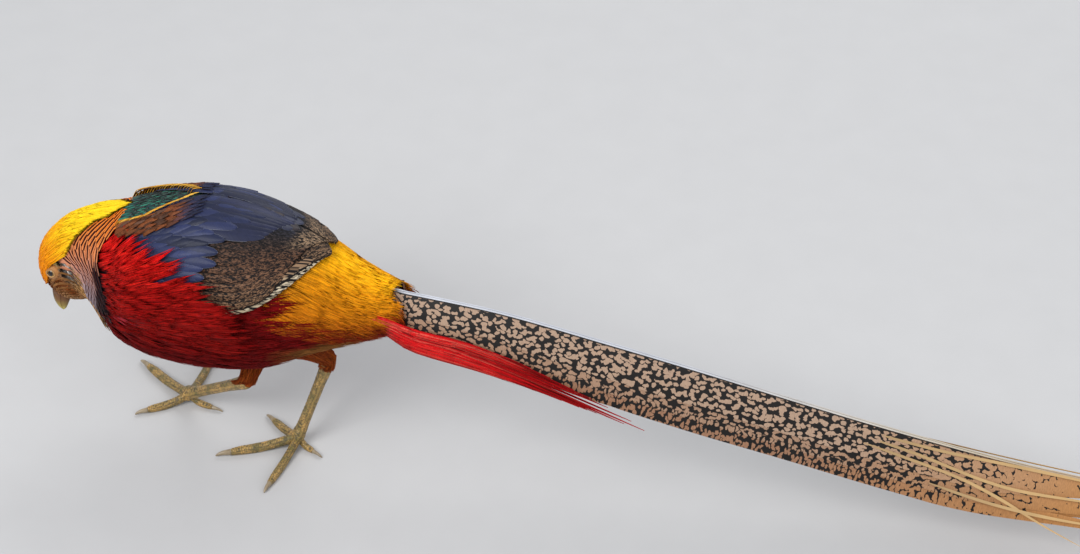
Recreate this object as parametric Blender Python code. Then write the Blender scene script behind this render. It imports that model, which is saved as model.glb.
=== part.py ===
# Golden pheasant cock, life size, walking with its head lowered to the ground.
# The flesh and its feathers are set out in the body's own coordinates: s runs from the bill's base
# to the tail's root, theta runs round the body from the top of the back, and h is the height in
# millimetres over the contour of the plumage. +X is the tail, -X the head, +Z up.
import math

import bmesh
import bpy
import numpy as np

MM = 0.001
GAP = 0.3  # mm kept between neighbouring pieces

# Side view of the body, nose to tail: top point, bottom point, sideways shift and half width in mm.
STATIONS = (
    # top x, top z, bottom x, bottom z, shift y, half width
    (-126.0, 117.5, -114, 109.5, -9.5, 5.5),  # bill base
    (-130.2, 125.5, -108.5, 107.5, -8.5, 10.0),  # lores
    (-131.8, 137, -104, 107, -7.0, 13.5),  # cheek
    (-128.8, 150, -101, 106.5, -5.0, 16.0),  # eye
    (-121, 161, -98.5, 105.5, -3.0, 18.0),  # back of the head
    (-109, 171.5, -95, 101, -1.5, 21.0),  # nape
    (-91, 180, -91, 89, 0.0, 27.0),  # neck
    (-68, 186.5, -82, 77, 0.0, 37.0),  # base of the neck
    (-42, 192, -52, 70, 0.0, 49.0),  # shoulders
    (-8, 198, -14, 67, 0.0, 52.5),  # back
    (27, 192, 25, 73, 0.0, 51.0),  # middle
    (58, 179, 58, 89, 0.0, 43.0),  # loins
    (90, 160, 86, 104, 0.0, 29.0),  # rump
    (113, 151, 112, 118, 0.0, 18.0),  # over the tail
    (128, 148, 126, 127, 0.0, 11.0),  # tail root
)
ROLL = 8.0  # degrees that the back leans to the bird's right, as it shifts its weight
HEAD_END, NECK_END, TORSO_END, RUMP_END = 4.0, 6.7, 11.4, 13.38  # stations where the body is parted
EYE_S, EYE_THETA, EYE_R, EYE_DEPTH = 2.9, 68.0, 4.4, 2.4
EAR_S, EAR_THETA, EAR_R, EAR_DEPTH = 3.3, 94.0, 4.0, 2.2

# Bill, base to tip: ridge x, ridge z, chin x, chin z, shift y, half width.
BILL = (
    (-126.1, 117.0, -114.4, 109.6, -9.5, 5.0),
    (-126.0, 111.0, -114.1, 106.5, -10.6, 4.5),
    (-125.0, 105.2, -115.4, 102.9, -11.8, 3.6),
    (-122.0, 100.6, -116.6, 100.0, -13.0, 2.4),
    (-118.8, 98.2, -117.6, 98.6, -14.0, 0.7),
)
MOUTH = -0.15  # height of the mouth line across the bill, from -1 at the chin to 1 at the ridge
LOWER_BILL = 3.5  # row of BILL where the lower half ends, short of the hooked tip
NOSTRIL_ROW, NOSTRIL_TURN, NOSTRIL_R = 0.9, 28.0, 1.0  # row of BILL, degrees over the mouth line's level, mm

# Ridge of the tail, x and z, and the depth of each sloping side, root to tip.
TAIL = (
    # x, z, slope depth
    (122, 145.5, 23),
    (190, 139, 29),
    (259, 126, 40),
    (327, 112, 42.5),
    (395, 97, 41.5),
    (463, 83, 41.5),
    (531, 71, 41),
    (590, 64, 34),
    (650, 60, 22),
    (700, 60, 11),
)
TAIL_ANGLE = 58.0  # degrees that each side of the tail falls from level
TAIL_THICK = 0.9

# Feet: place of the foot's centre, then each toe's tip on the floor, claw and all, in mm.
FEET = {
    "left": {
        "root": (45, -13),
        "hock": (68, 0, 74),
        "knee": (38, -22, 118),
        "toes": {"middle": (-9, -38), "outer": (35, -66), "inner": (14, 10), "hind": (65, -24)},
    },
    "right": {
        "root": (-45, 13),
        "hock": (9, -9, 49),
        "knee": (22, 22, 100),
        "toes": {"middle": (-94, 47), "outer": (-42, 66), "inner": (-79, -9), "hind": (-18, 7)},
    },
}
TARSUS_STEP = 14.0  # mm of the shank that belong to the foot
CLAW_LENGTH = {"middle": 11.0, "outer": 9.0, "inner": 9.5, "hind": 9.0}
TOE_RADIUS = {"middle": 3.2, "outer": 2.8, "inner": 2.8, "hind": 2.2}

COLOURS = {
    "gold": (0.95, 0.62, 0.02, 0.55),
    "orange": (0.85, 0.33, 0.03, 0.55),
    "scarlet": (0.55, 0.01, 0.01, 0.6),
    "green": (0.01, 0.12, 0.08, 0.4),
    "blue_black": (0.02, 0.03, 0.10, 0.45),
    "tan": (0.50, 0.27, 0.12, 0.6),
    "olive_horn": (0.38, 0.30, 0.08, 0.5),
    "claw_horn": (0.16, 0.11, 0.06, 0.4),
    "bill_horn": (0.45, 0.33, 0.12, 0.35),
    "eye": (0.75, 0.55, 0.25, 0.1),
    "rufous": (0.50, 0.17, 0.03, 0.65),
}


def clear_scene():
    for thing in list(bpy.data.objects):
        bpy.data.objects.remove(thing)


def rows_at(table, s):
    """Catmull-Rom curve through the rows of a table, read at the places s."""
    table = np.asarray(table, float)
    s = np.clip(np.asarray(s, float), 0, len(table) - 1)
    i = np.clip(np.floor(s).astype(int), 0, len(table) - 2)
    u = (s - i)[..., None]
    a, b, c, d = (table[np.clip(i + k, 0, len(table) - 1)] for k in (-1, 0, 1, 2))
    return 0.5 * (2 * b + (c - a) * u + (2 * a - 5 * b + 4 * c - d) * u**2 + (3 * b - a - 3 * c + d) * u**3)


def roll_at(s):
    return ROLL * np.interp(s, (6.5, 8.0, 11.5, 13.5), (0, 1, 1, 0))


def body(s, theta, h=0.0):
    """Point h mm over the plumage contour: a station is an ellipse between its top and bottom points."""
    s, theta, h = np.broadcast_arrays(*(np.asarray(v, float) for v in (s, theta, h)))
    row = rows_at(STATIONS, s)
    angle = np.radians(theta + roll_at(s))
    middle = np.stack([(row[..., 0] + row[..., 2]) / 2, row[..., 4], (row[..., 1] + row[..., 3]) / 2], -1)
    half_up = np.stack([row[..., 0] - row[..., 2], 0 * angle, row[..., 1] - row[..., 3]], -1) / 2
    tall = np.linalg.norm(half_up, axis=-1, keepdims=True)
    half_up = half_up / tall
    side = np.array((0.0, 1.0, 0.0))
    cos, sin = np.cos(angle)[..., None], np.sin(angle)[..., None]
    wide = row[..., 5:6]
    outward = half_up * cos * wide + side * sin * tall
    outward /= np.linalg.norm(outward, axis=-1, keepdims=True)
    return middle + half_up * tall * cos + side * wide * sin + outward * h[..., None]


def material(name):
    found = bpy.data.materials.get(name)
    if found:
        return found
    made = bpy.data.materials.new(name)
    made.use_nodes = True
    red, green, blue, rough = COLOURS[name]
    shader = made.node_tree.nodes["Principled BSDF"]
    shader.inputs["Base Color"].default_value = (red, green, blue, 1)
    shader.inputs["Roughness"].default_value = rough
    shader.inputs["Metallic"].default_value = 0.0
    return made


def solid(name, points, faces, colour):
    """Mesh object from points in mm."""
    mesh = bpy.data.meshes.new(name)
    mesh.from_pydata((np.asarray(points) * MM).tolist(), [], faces)
    made = bpy.data.objects.new(name, mesh)
    bpy.context.scene.collection.objects.link(made)
    mesh.materials.append(material(colour))
    work = bmesh.new()
    work.from_mesh(mesh)
    bmesh.ops.triangulate(work, faces=work.faces)
    bmesh.ops.recalc_face_normals(work, faces=work.faces)
    work.to_mesh(mesh)
    work.free()
    mesh.shade_smooth()
    mesh.set_sharp_from_angle(angle=math.radians(50))
    return made


def tube_faces(rings, sides):
    """Quads between rings of points, and a fan-ready polygon over each end."""
    faces = []
    for i in range(rings - 1):
        for j in range(sides):
            k = (j + 1) % sides
            faces.append((i * sides + j, i * sides + k, (i + 1) * sides + k, (i + 1) * sides + j))
    faces.append(tuple(range(sides))[::-1])
    faces.append(tuple((rings - 1) * sides + j for j in range(sides)))
    return faces


def loft(name, colour, s_values, sides, height):
    """Closed length of the body, with height(s, theta) over the contour."""
    theta = np.arange(sides) * 360.0 / sides
    s_grid, t_grid = np.meshgrid(s_values, theta, indexing="ij")
    points = body(s_grid, t_grid, height(s_grid, t_grid)).reshape(-1, 3)
    return solid(name, points, tube_faces(len(s_values), sides), colour)


def slab(name, colour, top, bottom):
    """Closed plate between two like grids of points, split into triangles alike on both."""
    rows, cols = top.shape[:2]
    count = rows * cols
    faces = []
    for i in range(rows - 1):
        for j in range(cols - 1):
            a, b, c, d = i * cols + j, i * cols + j + 1, (i + 1) * cols + j + 1, (i + 1) * cols + j
            faces += [(a, b, c), (a, c, d)]
            faces += [(count + c, count + b, count + a), (count + d, count + c, count + a)]
    rim = [(0, j) for j in range(cols)] + [(i, cols - 1) for i in range(1, rows)]
    rim += [(rows - 1, j) for j in range(cols - 2, -1, -1)] + [(i, 0) for i in range(rows - 2, 0, -1)]
    rim = [i * cols + j for i, j in rim]
    for a, b in zip(rim, rim[1:] + rim[:1]):
        faces.append((b, a, count + a, count + b))
    return solid(name, np.concatenate([top.reshape(-1, 3), bottom.reshape(-1, 3)]), faces, colour)


def vane(course, half_width, height, tilt=0.0, thick=0.6):
    """Tapered vane along a course of (station, theta) places, with its half width and height in mm at each.

    A positive tilt lifts the edge on the bird's right of a vane that points to the tail.
    """
    course = np.asarray(course, float)
    s, theta = course.T
    along_s = (body(s + 0.02, theta) - body(s - 0.02, theta)) / 0.04
    along_t = body(s, theta + 0.5) - body(s, theta - 0.5)
    course_step = np.gradient(course, axis=0)
    forward = along_s * course_step[:, :1] + along_t * course_step[:, 1:]
    across = np.cross(np.cross(along_s, along_t), forward)
    across /= np.linalg.norm(across, axis=1, keepdims=True)
    # Change of station and theta for one millimetre across.
    ss, st, tt = (np.sum(a * b, 1) for a, b in ((along_s, along_s), (along_s, along_t), (along_t, along_t)))
    cs, ct = np.sum(across * along_s, 1), np.sum(across * along_t, 1)
    det = ss * tt - st * st
    step = np.stack([(cs * tt - ct * st) / det, (ct * ss - cs * st) / det], 1)
    edge = np.array((-1.0, 1.0))
    reach = np.asarray(half_width, float)[:, None] * edge
    s_grid = s[:, None] + step[:, :1] * reach
    t_grid = theta[:, None] + step[:, 1:] * reach
    level = np.asarray(height, float)[:, None] + tilt * edge
    top, bottom = body(s_grid, t_grid, level + thick / 2), body(s_grid, t_grid, level - thick / 2)
    return slab("vane", "gold", top, bottom)


LOCK = (0.8, 1.0, 0.95, 0.7, 0.15)  # part of the full width of a pointed lock, root to tip
FEATHER = (0.8, 1.0, 1.0, 0.35)  # the same for a rounded feather


def half_widths(outline, pitch):
    """Half widths in mm of a vane that keeps clear of neighbours set the pitch apart."""
    return np.asarray(outline) * (pitch - 1.5 * GAP) / 2


def plume(root, tip, step, heights, outline):
    """Vane from a root place to a tip place, in a tier whose vanes stand step degrees of theta apart."""
    part = np.linspace(0, 1, len(outline))
    course = np.asarray(root, float) + (np.asarray(tip, float) - root) * part[:, None]
    s, theta = course.T
    pitch = step * np.linalg.norm(body(s, theta + 0.5) - body(s, theta - 0.5), axis=1)
    level = np.interp(part, np.linspace(0, 1, len(heights)), heights)
    return vane(course, half_widths(outline, pitch), level)


def tube(name, colour, path, radii, sides, flat_floor=False):
    """Round bar along a path of points in mm; radii are (across, up) pairs."""
    path, radii = np.asarray(path, float), np.asarray(radii, float)
    along = np.gradient(path, axis=0)
    along /= np.linalg.norm(along, axis=1, keepdims=True)
    side = np.cross(along, (0.0, 0.0, 1.0))
    weak = np.linalg.norm(side, axis=1) < 0.3
    side[weak] = np.cross(along[weak], (1.0, 0.0, 0.0))
    side /= np.linalg.norm(side, axis=1, keepdims=True)
    up = np.cross(side, along)
    turn = np.arange(sides) * 2 * math.pi / sides + math.pi / sides
    points = (
        path[:, None]
        + side[:, None] * (radii[:, :1] * np.cos(turn))[..., None]
        + up[:, None] * (radii[:, 1:] * np.sin(turn))[..., None]
    )
    if flat_floor:
        points[..., 2] = np.maximum(points[..., 2], 0.0)
    return solid(name, points.reshape(-1, 3), tube_faces(len(path), sides), colour)


def keep_largest(mesh):
    work = bmesh.new()
    work.from_mesh(mesh)
    work.verts.ensure_lookup_table()
    seen, islands = set(), []
    for start in work.verts:
        if start.index in seen:
            continue
        island, front = [], [start]
        seen.add(start.index)
        while front:
            vert = front.pop()
            island.append(vert)
            for edge in vert.link_edges:
                other = edge.other_vert(vert)
                if other.index not in seen:
                    seen.add(other.index)
                    front.append(other)
        islands.append(island)
    islands.sort(key=len)
    for island in islands[:-1]:
        bmesh.ops.delete(work, geom=island, context="VERTS")
    bmesh.ops.triangulate(work, faces=work.faces)
    work.to_mesh(mesh)
    work.free()


def boolean(target, others, operation):
    """Joins or cuts a set of closed meshes in one Boolean, applies it and removes them."""
    group = bpy.data.collections.new(target.name + "_pieces")
    bpy.context.scene.collection.children.link(group)
    for other in others:
        group.objects.link(other)
    modifier = target.modifiers.new("join", "BOOLEAN")
    modifier.operation = operation
    modifier.operand_type = "COLLECTION"
    modifier.collection = group
    modifier.solver = "MANIFOLD"
    graph = bpy.context.evaluated_depsgraph_get()
    result = bpy.data.meshes.new_from_object(target.evaluated_get(graph), depsgraph=graph)
    target.modifiers.clear()
    target.data = result
    for other in others:
        bpy.data.objects.remove(other)
    bpy.data.collections.remove(group)
    keep_largest(result)
    return target


def inflated(source, gap):
    """Copy of a mesh with every point moved out by the gap, to cut a neighbour clear."""
    mesh = source.data.copy()
    made = bpy.data.objects.new("cutter", mesh)
    bpy.context.scene.collection.objects.link(made)
    work = bmesh.new()
    work.from_mesh(mesh)
    work.normal_update()
    moves = [vert.normal * (gap * MM) for vert in work.verts]
    for vert, move in zip(work.verts, moves):
        vert.co += move
    work.to_mesh(mesh)
    work.free()
    return made


def cut_clear(target, *neighbours):
    return boolean(target, [inflated(other, 1.5 * GAP) for other in neighbours], "DIFFERENCE")


def sphere(name, colour, centre, radius, rings=12, sides=20, axis=(0, 0, 1)):
    """Ball whose poles lie along the axis."""
    axis = np.asarray(axis, float) / np.linalg.norm(axis)
    side = np.cross(axis, (0.3, 0.2, 0.9))
    side /= np.linalg.norm(side)
    front = np.cross(axis, side)
    lat = np.linspace(-0.5, 0.5, rings + 1)[1:-1] * math.pi
    turn = np.arange(sides) * 2 * math.pi / sides
    lat, turn = np.meshgrid(lat, turn, indexing="ij")
    points = (
        np.cos(lat)[..., None] * (np.cos(turn)[..., None] * side + np.sin(turn)[..., None] * front)
        + np.sin(lat)[..., None] * axis
    )
    points = np.concatenate([points.reshape(-1, 3), [-axis, axis]]) * radius + np.asarray(centre)
    faces = []
    for i in range(rings - 2):
        for j in range(sides):
            k = (j + 1) % sides
            faces.append((i * sides + j, i * sides + k, (i + 1) * sides + k, (i + 1) * sides + j))
    south, north = (rings - 1) * sides, (rings - 1) * sides + 1
    for j in range(sides):
        k = (j + 1) % sides
        faces.append((south, k, j))
        faces.append((north, (rings - 2) * sides + j, (rings - 2) * sides + k))
    return solid(name, points, faces, colour)


def eye_centre(side):
    return body(EYE_S, side * EYE_THETA, -EYE_DEPTH)


def eye_axis(side):
    return body(EYE_S, side * EYE_THETA, 1.0) - body(EYE_S, side * EYE_THETA, 0.0)


def bill_half(name, upper):
    """One half of the bill: a D section between the mouth line and the ridge or the chin."""
    last = len(BILL) - 1 if upper else LOWER_BILL
    rows = rows_at(BILL, np.linspace(0.0, last, 8))
    sides = 9
    start = math.asin(MOUTH)
    end = math.pi - start
    turn = np.linspace(start, end, sides) if upper else np.linspace(end, 2 * math.pi + start, sides)
    ridge = np.stack([rows[:, 0], rows[:, 4], rows[:, 1]], -1)
    chin = np.stack([rows[:, 2], rows[:, 4], rows[:, 3]], -1)
    middle, up = (ridge + chin) / 2, (ridge - chin) / 2
    across = np.array((0.0, 1.0, 0.0)) * rows[:, 5:6]
    points = (
        middle[:, None]
        + up[:, None] * np.sin(turn)[:, None]
        + across[:, None] * np.cos(turn)[:, None]
    )
    shift = up / np.linalg.norm(up, axis=1, keepdims=True) * (GAP / 2 if upper else -GAP / 2)
    return solid(name, (points + shift[:, None]).reshape(-1, 3), tube_faces(len(rows), sides), "bill_horn")


def make_bill():
    """Hooked upper half with a nostril in each side, and the lower half under the mouth line."""
    upper = bill_half("bill_upper", True)
    bill_half("bill_lower", False)
    row = rows_at(BILL, np.array(NOSTRIL_ROW))
    ridge, chin = np.array((row[0], row[4], row[1])), np.array((row[2], row[4], row[3]))
    turn = math.radians(NOSTRIL_TURN)
    pits = []
    for side in (-1, 1):
        place = (ridge + chin) / 2 + (ridge - chin) / 2 * math.sin(turn)
        place = place + np.array((0.0, side * row[5] * math.cos(turn), 0.0))
        pits.append(sphere("nostril", "bill_horn", place, NOSTRIL_R, 6, 8, (0, 1, 0)))
    return boolean(upper, pits, "DIFFERENCE")


LID_SECTION = ((1.5, 0.9), (0.0, 1.5), (-1.6, 0.3), (-0.6, -1.6))  # mm out from the ring and along its axis
LID_RING, LID_FLAT, LID_RISE, LID_SIDES = 4.5, 0.86, 1.0, 16


def eyelid(side):
    """Low ring of lids round the eye."""
    centre, axis = eye_centre(side), eye_axis(side)
    axis /= np.linalg.norm(axis)
    level = np.cross(axis, (0, 0, 1))
    level /= np.linalg.norm(level)
    upright = np.cross(level, axis)
    turn = np.arange(LID_SIDES) * 2 * math.pi / LID_SIDES
    round_eye = np.cos(turn)[:, None] * level + LID_FLAT * np.sin(turn)[:, None] * upright
    ring = centre + axis * LID_RISE + LID_RING * round_eye
    outward = ring - centre
    outward /= np.linalg.norm(outward, axis=1, keepdims=True)
    points = np.stack([ring + outward * a + axis * b for a, b in LID_SECTION], 1)
    faces = []
    for i in range(LID_SIDES):
        for j in range(4):
            k, n = (j + 1) % 4, (i + 1) % LID_SIDES
            faces.append((i * 4 + j, i * 4 + k, n * 4 + k, n * 4 + j))
    return solid("lid", points.reshape(-1, 3), faces, "tan")


def make_head():
    """Head with its lids, ear patches, crest and eye sockets."""
    head = loft("head", "tan", np.linspace(0.08, HEAD_END - 0.09, 11), 20, lambda s, t: -1.5 + 0 * s)
    additions = crest_locks()
    for side in (-1, 1):
        additions.append(eyelid(side))
        ear = body(EAR_S, side * EAR_THETA, -EAR_DEPTH)
        additions.append(sphere("ear", "tan", ear, EAR_R, 6, 10, eye_axis(side)))
    boolean(head, additions, "UNION")
    sockets = []
    for side in (-1, 1):
        sockets.append(sphere("socket", "tan", eye_centre(side), EYE_R + GAP, 8, 12, eye_axis(side)))
    return boolean(head, sockets, "DIFFERENCE")


CREST_TIERS = (
    # root station, locks, half the spread in degrees, reach in stations
    (0.75, 3, 22, 1.9),
    (1.5, 4, 31, 2.5),
    (2.5, 5, 37, 3.35),
    (3.6, 7, 66, 9.0),
)
CREST_TIPS = ((0, 7.0), (12, 6.75), (28, 6.05), (52, 5.35), (74, 4.75))  # degrees from the ridge, station


def crest_level(s, tier):
    """Height of a crest lock's middle: each tier lies on those rooted behind it, and all clear the cape."""
    under = sum(np.clip((s - row[0] + 0.1) / 0.3, 0, 1) for row in CREST_TIERS[tier + 1:])
    rise = np.clip((s - CREST_TIERS[tier][0]) / 0.3, 0, 1)
    return -2.3 + 1.0 * rise + under + 3.7 * np.clip((s - HEAD_END + 0.3) / 0.22, 0, 1)


def crest_locks():
    """Silky locks combed back from the forehead, in tiers that end over the cape."""
    locks = []
    for tier, (root, count, spread, reach) in enumerate(CREST_TIERS):
        step = 2 * spread / (count - 1)
        for theta in np.linspace(-spread, spread, count):
            end = min(np.interp(abs(theta), *zip(*CREST_TIPS)), root + reach)
            s = np.concatenate([[root, root + 0.3], np.linspace(root + 0.65, end, 3)])
            if s[2] < HEAD_END < end:
                s = np.concatenate([[root, root + 0.3, HEAD_END - 0.07], np.linspace(HEAD_END + 0.45, end, 3)])
            if root + 0.3 > HEAD_END - 0.3:
                s[1] = HEAD_END - 0.25
            pitch = step * np.linalg.norm(body(s, theta + 0.5) - body(s, theta - 0.5), axis=1)
            last = len(s) - 1
            outline = np.interp(np.arange(len(s)), (0, 1, last - 2, last - 1, last), (0.8, 1, 1, 0.85, 0.12))
            course = np.stack([s, theta + 0 * s], 1)
            locks.append(vane(course, half_widths(outline, pitch), crest_level(s, tier)))
    return locks


CAPE_EDGE = ((0, 6.9), (40, 6.72), (90, 6.4), (125, 6.4))  # degrees from the ridge, station of the last tips
CAPE_TIERS = ((5.1, 8), (6.0, 9), (6.9, 10))  # station of the tips on the ridge, feathers
CAPE_SPREAD = 116


def make_neck():
    """Neck with its cape of broad square-ended feathers, in tiers."""
    core = lambda s, t: -3.0 + 0 * s
    neck = loft("neck", "orange", np.linspace(HEAD_END + 0.09, NECK_END - 0.02, 7), 16, core)
    feathers = []
    front = HEAD_END + 0.1
    for tip, count in CAPE_TIERS:
        for theta in np.linspace(-CAPE_SPREAD, CAPE_SPREAD, count):
            last = np.interp(abs(theta), *zip(*CAPE_EDGE))
            end = front + (tip - front) * (last - front) / (CAPE_EDGE[0][1] - front)
            root = max(front + 0.15, end - 1.5)
            step = 2 * CAPE_SPREAD / (count - 1)
            feathers.append(plume((root, theta), (end, theta), step, (-3.6, -1.4, 0.3), FEATHER))
    return boolean(neck, feathers, "UNION")


WING_BED = 0.9  # mm that the back and flanks lie lower, under the wings


def make_torso():
    """Breast, back and belly, drawn in at the front where the cape lies over it."""
    def height(s, theta):
        from_top = np.abs((theta + 180) % 360 - 180)
        return np.interp(s, (7.1, 7.8), (-1.6, 0.0)) - WING_BED * np.interp(from_top, (85, 115), (1, 0))

    return loft("torso", "scarlet", np.linspace(NECK_END + 0.02, TORSO_END - 0.02, 12), 24, height)


RUMP_TIERS = ((11.5, 12.75, 8, 112), (12.1, 13.35, 9, 112), (12.7, 13.95, 6, 75))  # root, tip, locks, spread
RED_COVERTS = (
    # root theta, then places on the tail: part of its length, mm down its side and mm off it
    (112, (0.06, 31, 5.2), (0.12, 40, 4.6), (0.18, 46, 3.0)),
    (124, (0.06, 36, 3.4), (0.13, 43, 2.6), (0.22, 48, 1.6)),
    (100, (0.06, 26, 6.4), (0.15, 38, 5.4), (0.29, 50, 3.4)),
    (86, (0.05, 19, 4.8), (0.1, 29, 4.4), (0.17, 38, 4.0)),
)


def covert(side, theta, *places):
    """Long narrow tail covert, rooted under the rump's plumes and swept back beside the tail."""
    path = [body(12.8, side * theta, -4.0), body(13.4, side * theta, 2.2)]
    path += [tail_point(*place, side) for place in places]
    count = 6
    path = rows_at(path, np.linspace(0, len(path) - 1, count))
    along = np.gradient(path, axis=0)
    along /= np.linalg.norm(along, axis=1, keepdims=True)
    out = np.array((0.0, side * 1.0, 0.5))
    out = out - along * (along @ out)[:, None]
    out /= np.linalg.norm(out, axis=1, keepdims=True)
    half = np.interp(np.linspace(0, 1, count), (0, 0.25, 0.7, 1), (2.0, 3.4, 2.8, 0.4))[:, None, None]
    rib = path[:, None] + np.cross(along, out)[:, None] * half * np.array((-1.0, 1.0))[:, None]
    return slab("covert", "scarlet", rib + out[:, None] * 0.35, rib - out[:, None] * 0.35)


def make_rump():
    """Rump with its silky golden plumes and the long red coverts that edge the tail."""
    core = lambda s, t: -2.5 + 0 * s
    rump = loft("rump", "gold", np.linspace(TORSO_END + 0.02, RUMP_END, 6), 16, core)
    plumes = []
    for root, tip, count, spread in RUMP_TIERS:
        for theta in np.linspace(-spread, spread, count):
            step = 2 * spread / (count - 1)
            plumes.append(plume((root, theta), (tip, theta), step, (-3.2, -1.0, 0.5, 1.2), LOCK))
    for side in (-1, 1):
        plumes += [covert(side, *data) for data in RED_COVERTS]
    return boolean(rump, plumes, "UNION")


# Upper and lower edge of the folded left wing, shoulder to tip: station and theta.
WING_TOP = ((7.45, -26), (8.1, -12), (8.8, -2.0), (9.5, -1.2), (10.2, -1.2), (10.85, -1.2), (11.35, -1.8))
WING_FOOT = ((7.35, -74), (8.2, -82), (9.2, -83), (9.9, -80), (10.5, -67), (11.05, -43), (11.5, -6))


def wing_place(u, v):
    """Station and theta at u from shoulder to tip and v from the back's edge to the lower edge."""
    top, foot = rows_at(WING_TOP, u * (len(WING_TOP) - 1)), rows_at(WING_FOOT, u * (len(WING_FOOT) - 1))
    place = top + (foot - top) * v[..., None]
    return place[..., 0], place[..., 1]


WING_TIERS = (
    # root u, tip u, first v, last v, feathers, height at the tip
    (0.03, 0.25, 0.92, 0.1, 5, 4.8),  # lesser coverts
    (0.18, 0.47, 0.95, 0.1, 6, 4.2),  # greater coverts
)
FLIGHT_FEATHERS = 6
TERTIALS = 3
VANE_TILT = 0.35  # mm that the upper edge of each wing feather dips under its neighbour


def wing_vane(root, tip, step, heights, side):
    """Wing feather along a line on the wing's own (u, v) sheet; step is the v between neighbours."""
    part = np.linspace(0, 1, len(FEATHER))
    u, v = root[0] + (tip[0] - root[0]) * part, root[1] + (tip[1] - root[1]) * part
    s, theta = wing_place(u, v)
    other_s, other_theta = wing_place(u, v + 0.02)
    pitch = np.linalg.norm(body(other_s, -other_theta) - body(s, -theta), axis=1) / 0.02
    pitch *= np.interp(part, (0, 1), step)
    level = np.interp(part, np.linspace(0, 1, len(heights)), heights)
    return vane(np.stack([s, side * -theta], 1), half_widths(FEATHER, pitch), level, side * VANE_TILT)


def make_wing(side):
    """Folded wing: a thin shell over the flank, covered by tiers of vanes."""
    u, v = np.meshgrid(np.linspace(0, 0.97, 8), np.linspace(0.02, 0.98, 6), indexing="ij")
    s_grid, t_grid = wing_place(u, v)
    t_grid = side * -t_grid
    low = 0.9 + 0 * u
    high = low + 0.8 + 0.9 * np.sin(math.pi * np.clip(v, 0.05, 0.95)) * np.sin(math.pi * np.clip(u, 0.1, 0.9))
    name = "wing_right" if side > 0 else "wing_left"
    wing = slab(name, "blue_black", body(s_grid, t_grid, high), body(s_grid, t_grid, low))
    vanes = []
    for root, tip, first, last, count, top in WING_TIERS:
        step = (first - last) / (count - 1)
        for v_place in np.linspace(first, last, count):
            vanes.append(wing_vane((root, v_place), (tip, v_place), (step, step), (0.9, top), side))
    for i in range(FLIGHT_FEATHERS):
        f = i / (FLIGHT_FEATHERS - 1)
        root, tip = (0.33, 0.95 - 0.6 * f), (0.66 + 0.34 * f**0.8, 0.97 - 0.68 * f)
        step = (0.6 / (FLIGHT_FEATHERS - 1), 0.68 / (FLIGHT_FEATHERS - 1))
        vanes.append(wing_vane(root, tip, step, (1.1, 1.5, 2.0), side))
    for i in range(TERTIALS):
        f = i / (TERTIALS - 1)
        root, tip = (0.3, 0.34 - 0.25 * f), (0.8 + 0.14 * f, 0.33 - 0.25 * f)
        vanes.append(wing_vane(root, tip, (0.125, 0.125), (1.3, 2.9, 3.6, 4.0), side))
    return boolean(wing, vanes, "UNION")


def tail_point(t, b, n, side):
    """Point of the tail: t from 0 at the root to 1 at the tip, b mm down the slope, n mm out of it."""
    t, b, n = np.broadcast_arrays(*(np.asarray(v, float) for v in (t, b, n)))
    count = len(TAIL) - 1
    rows = rows_at(TAIL, t * count)
    step = 0.01
    near, far = (rows_at(TAIL, np.clip(t * count + way, 0, count)) for way in (-step, step))
    ahead = far - near
    along = np.stack([ahead[..., 0], np.zeros_like(t), ahead[..., 1]], -1)
    along /= np.linalg.norm(along, axis=-1, keepdims=True)
    down = np.stack([along[..., 2], np.zeros_like(t), -along[..., 0]], -1)
    out = np.array((0.0, float(side), 0.0))
    angle = math.radians(TAIL_ANGLE)
    slope = down * math.sin(angle) + out * math.cos(angle)
    normal = out * math.sin(angle) - down * math.cos(angle)
    ridge = np.stack([rows[..., 0], np.zeros_like(t), rows[..., 1]], -1)
    return ridge + slope * b[..., None] + normal * n[..., None]


TAIL_FEATHERS = (
    # layer, where it ends from root to tip, top edge and low edge down the slope in mm, curl of the tip
    (0, 1.0, 0.6, 30.0, 0.0),
    (1, 0.97, 24.0, 44.0, 10.0),
    (2, 0.93, 37.0, 53.0, 22.0),
    (3, 0.82, 28.0, 47.0, 4.0),
)
TAIL_ROOT = 0.045  # part of the tail's length that is root


def make_tail(side):
    """One sloping side of the tail: long graduated feathers, layered under the middle one."""
    name = "tail_right" if side > 0 else "tail_left"
    t, v = np.meshgrid(np.linspace(0.0, TAIL_ROOT, 3), np.linspace(0, 1, 4), indexing="ij")
    depth = rows_at(TAIL, t * (len(TAIL) - 1))[..., 2]
    shut = 0.95 * depth * v + 0.6
    root = slab(name, "tan", tail_point(t, shut, 0.8, side), tail_point(t, shut, -5.2, side))
    keep_off_middle(root.data, side)
    feathers = []
    for layer, end, top, low, curl in TAIL_FEATHERS:
        t, v = np.meshgrid(np.linspace(0.012, end, 13), np.linspace(0, 1, 3), indexing="ij")
        scale = rows_at(TAIL, t * (len(TAIL) - 1))[..., 2] / 53
        part = t / end
        taper = np.interp(part, (0, 0.7, 0.9, 1.0), (1.0, 1.0, 0.55, 0.08))
        middle, half = (top + low) / 2, (low - top) / 2
        b = (middle + half * taper * (2 * v - 1)) * scale
        if layer == 0:
            b = top + (low - top) * taper * scale * v
        tip = np.clip((part - 0.72) / 0.28, 0, 1) ** 2
        n = 1.6 * np.sin(math.pi * np.clip(b / 53, 0, 1)) - 1.35 * layer + curl * 0.55 * tip
        b = b + curl * 0.7 * tip
        outer, inner = tail_point(t, b, n + TAIL_THICK / 2, side), tail_point(t, b, n - TAIL_THICK / 2, side)
        feather = slab("feather", "tan", outer, inner)
        keep_off_middle(feather.data, side)
        feathers.append(feather)
    return boolean(root, feathers, "UNION")


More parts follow.
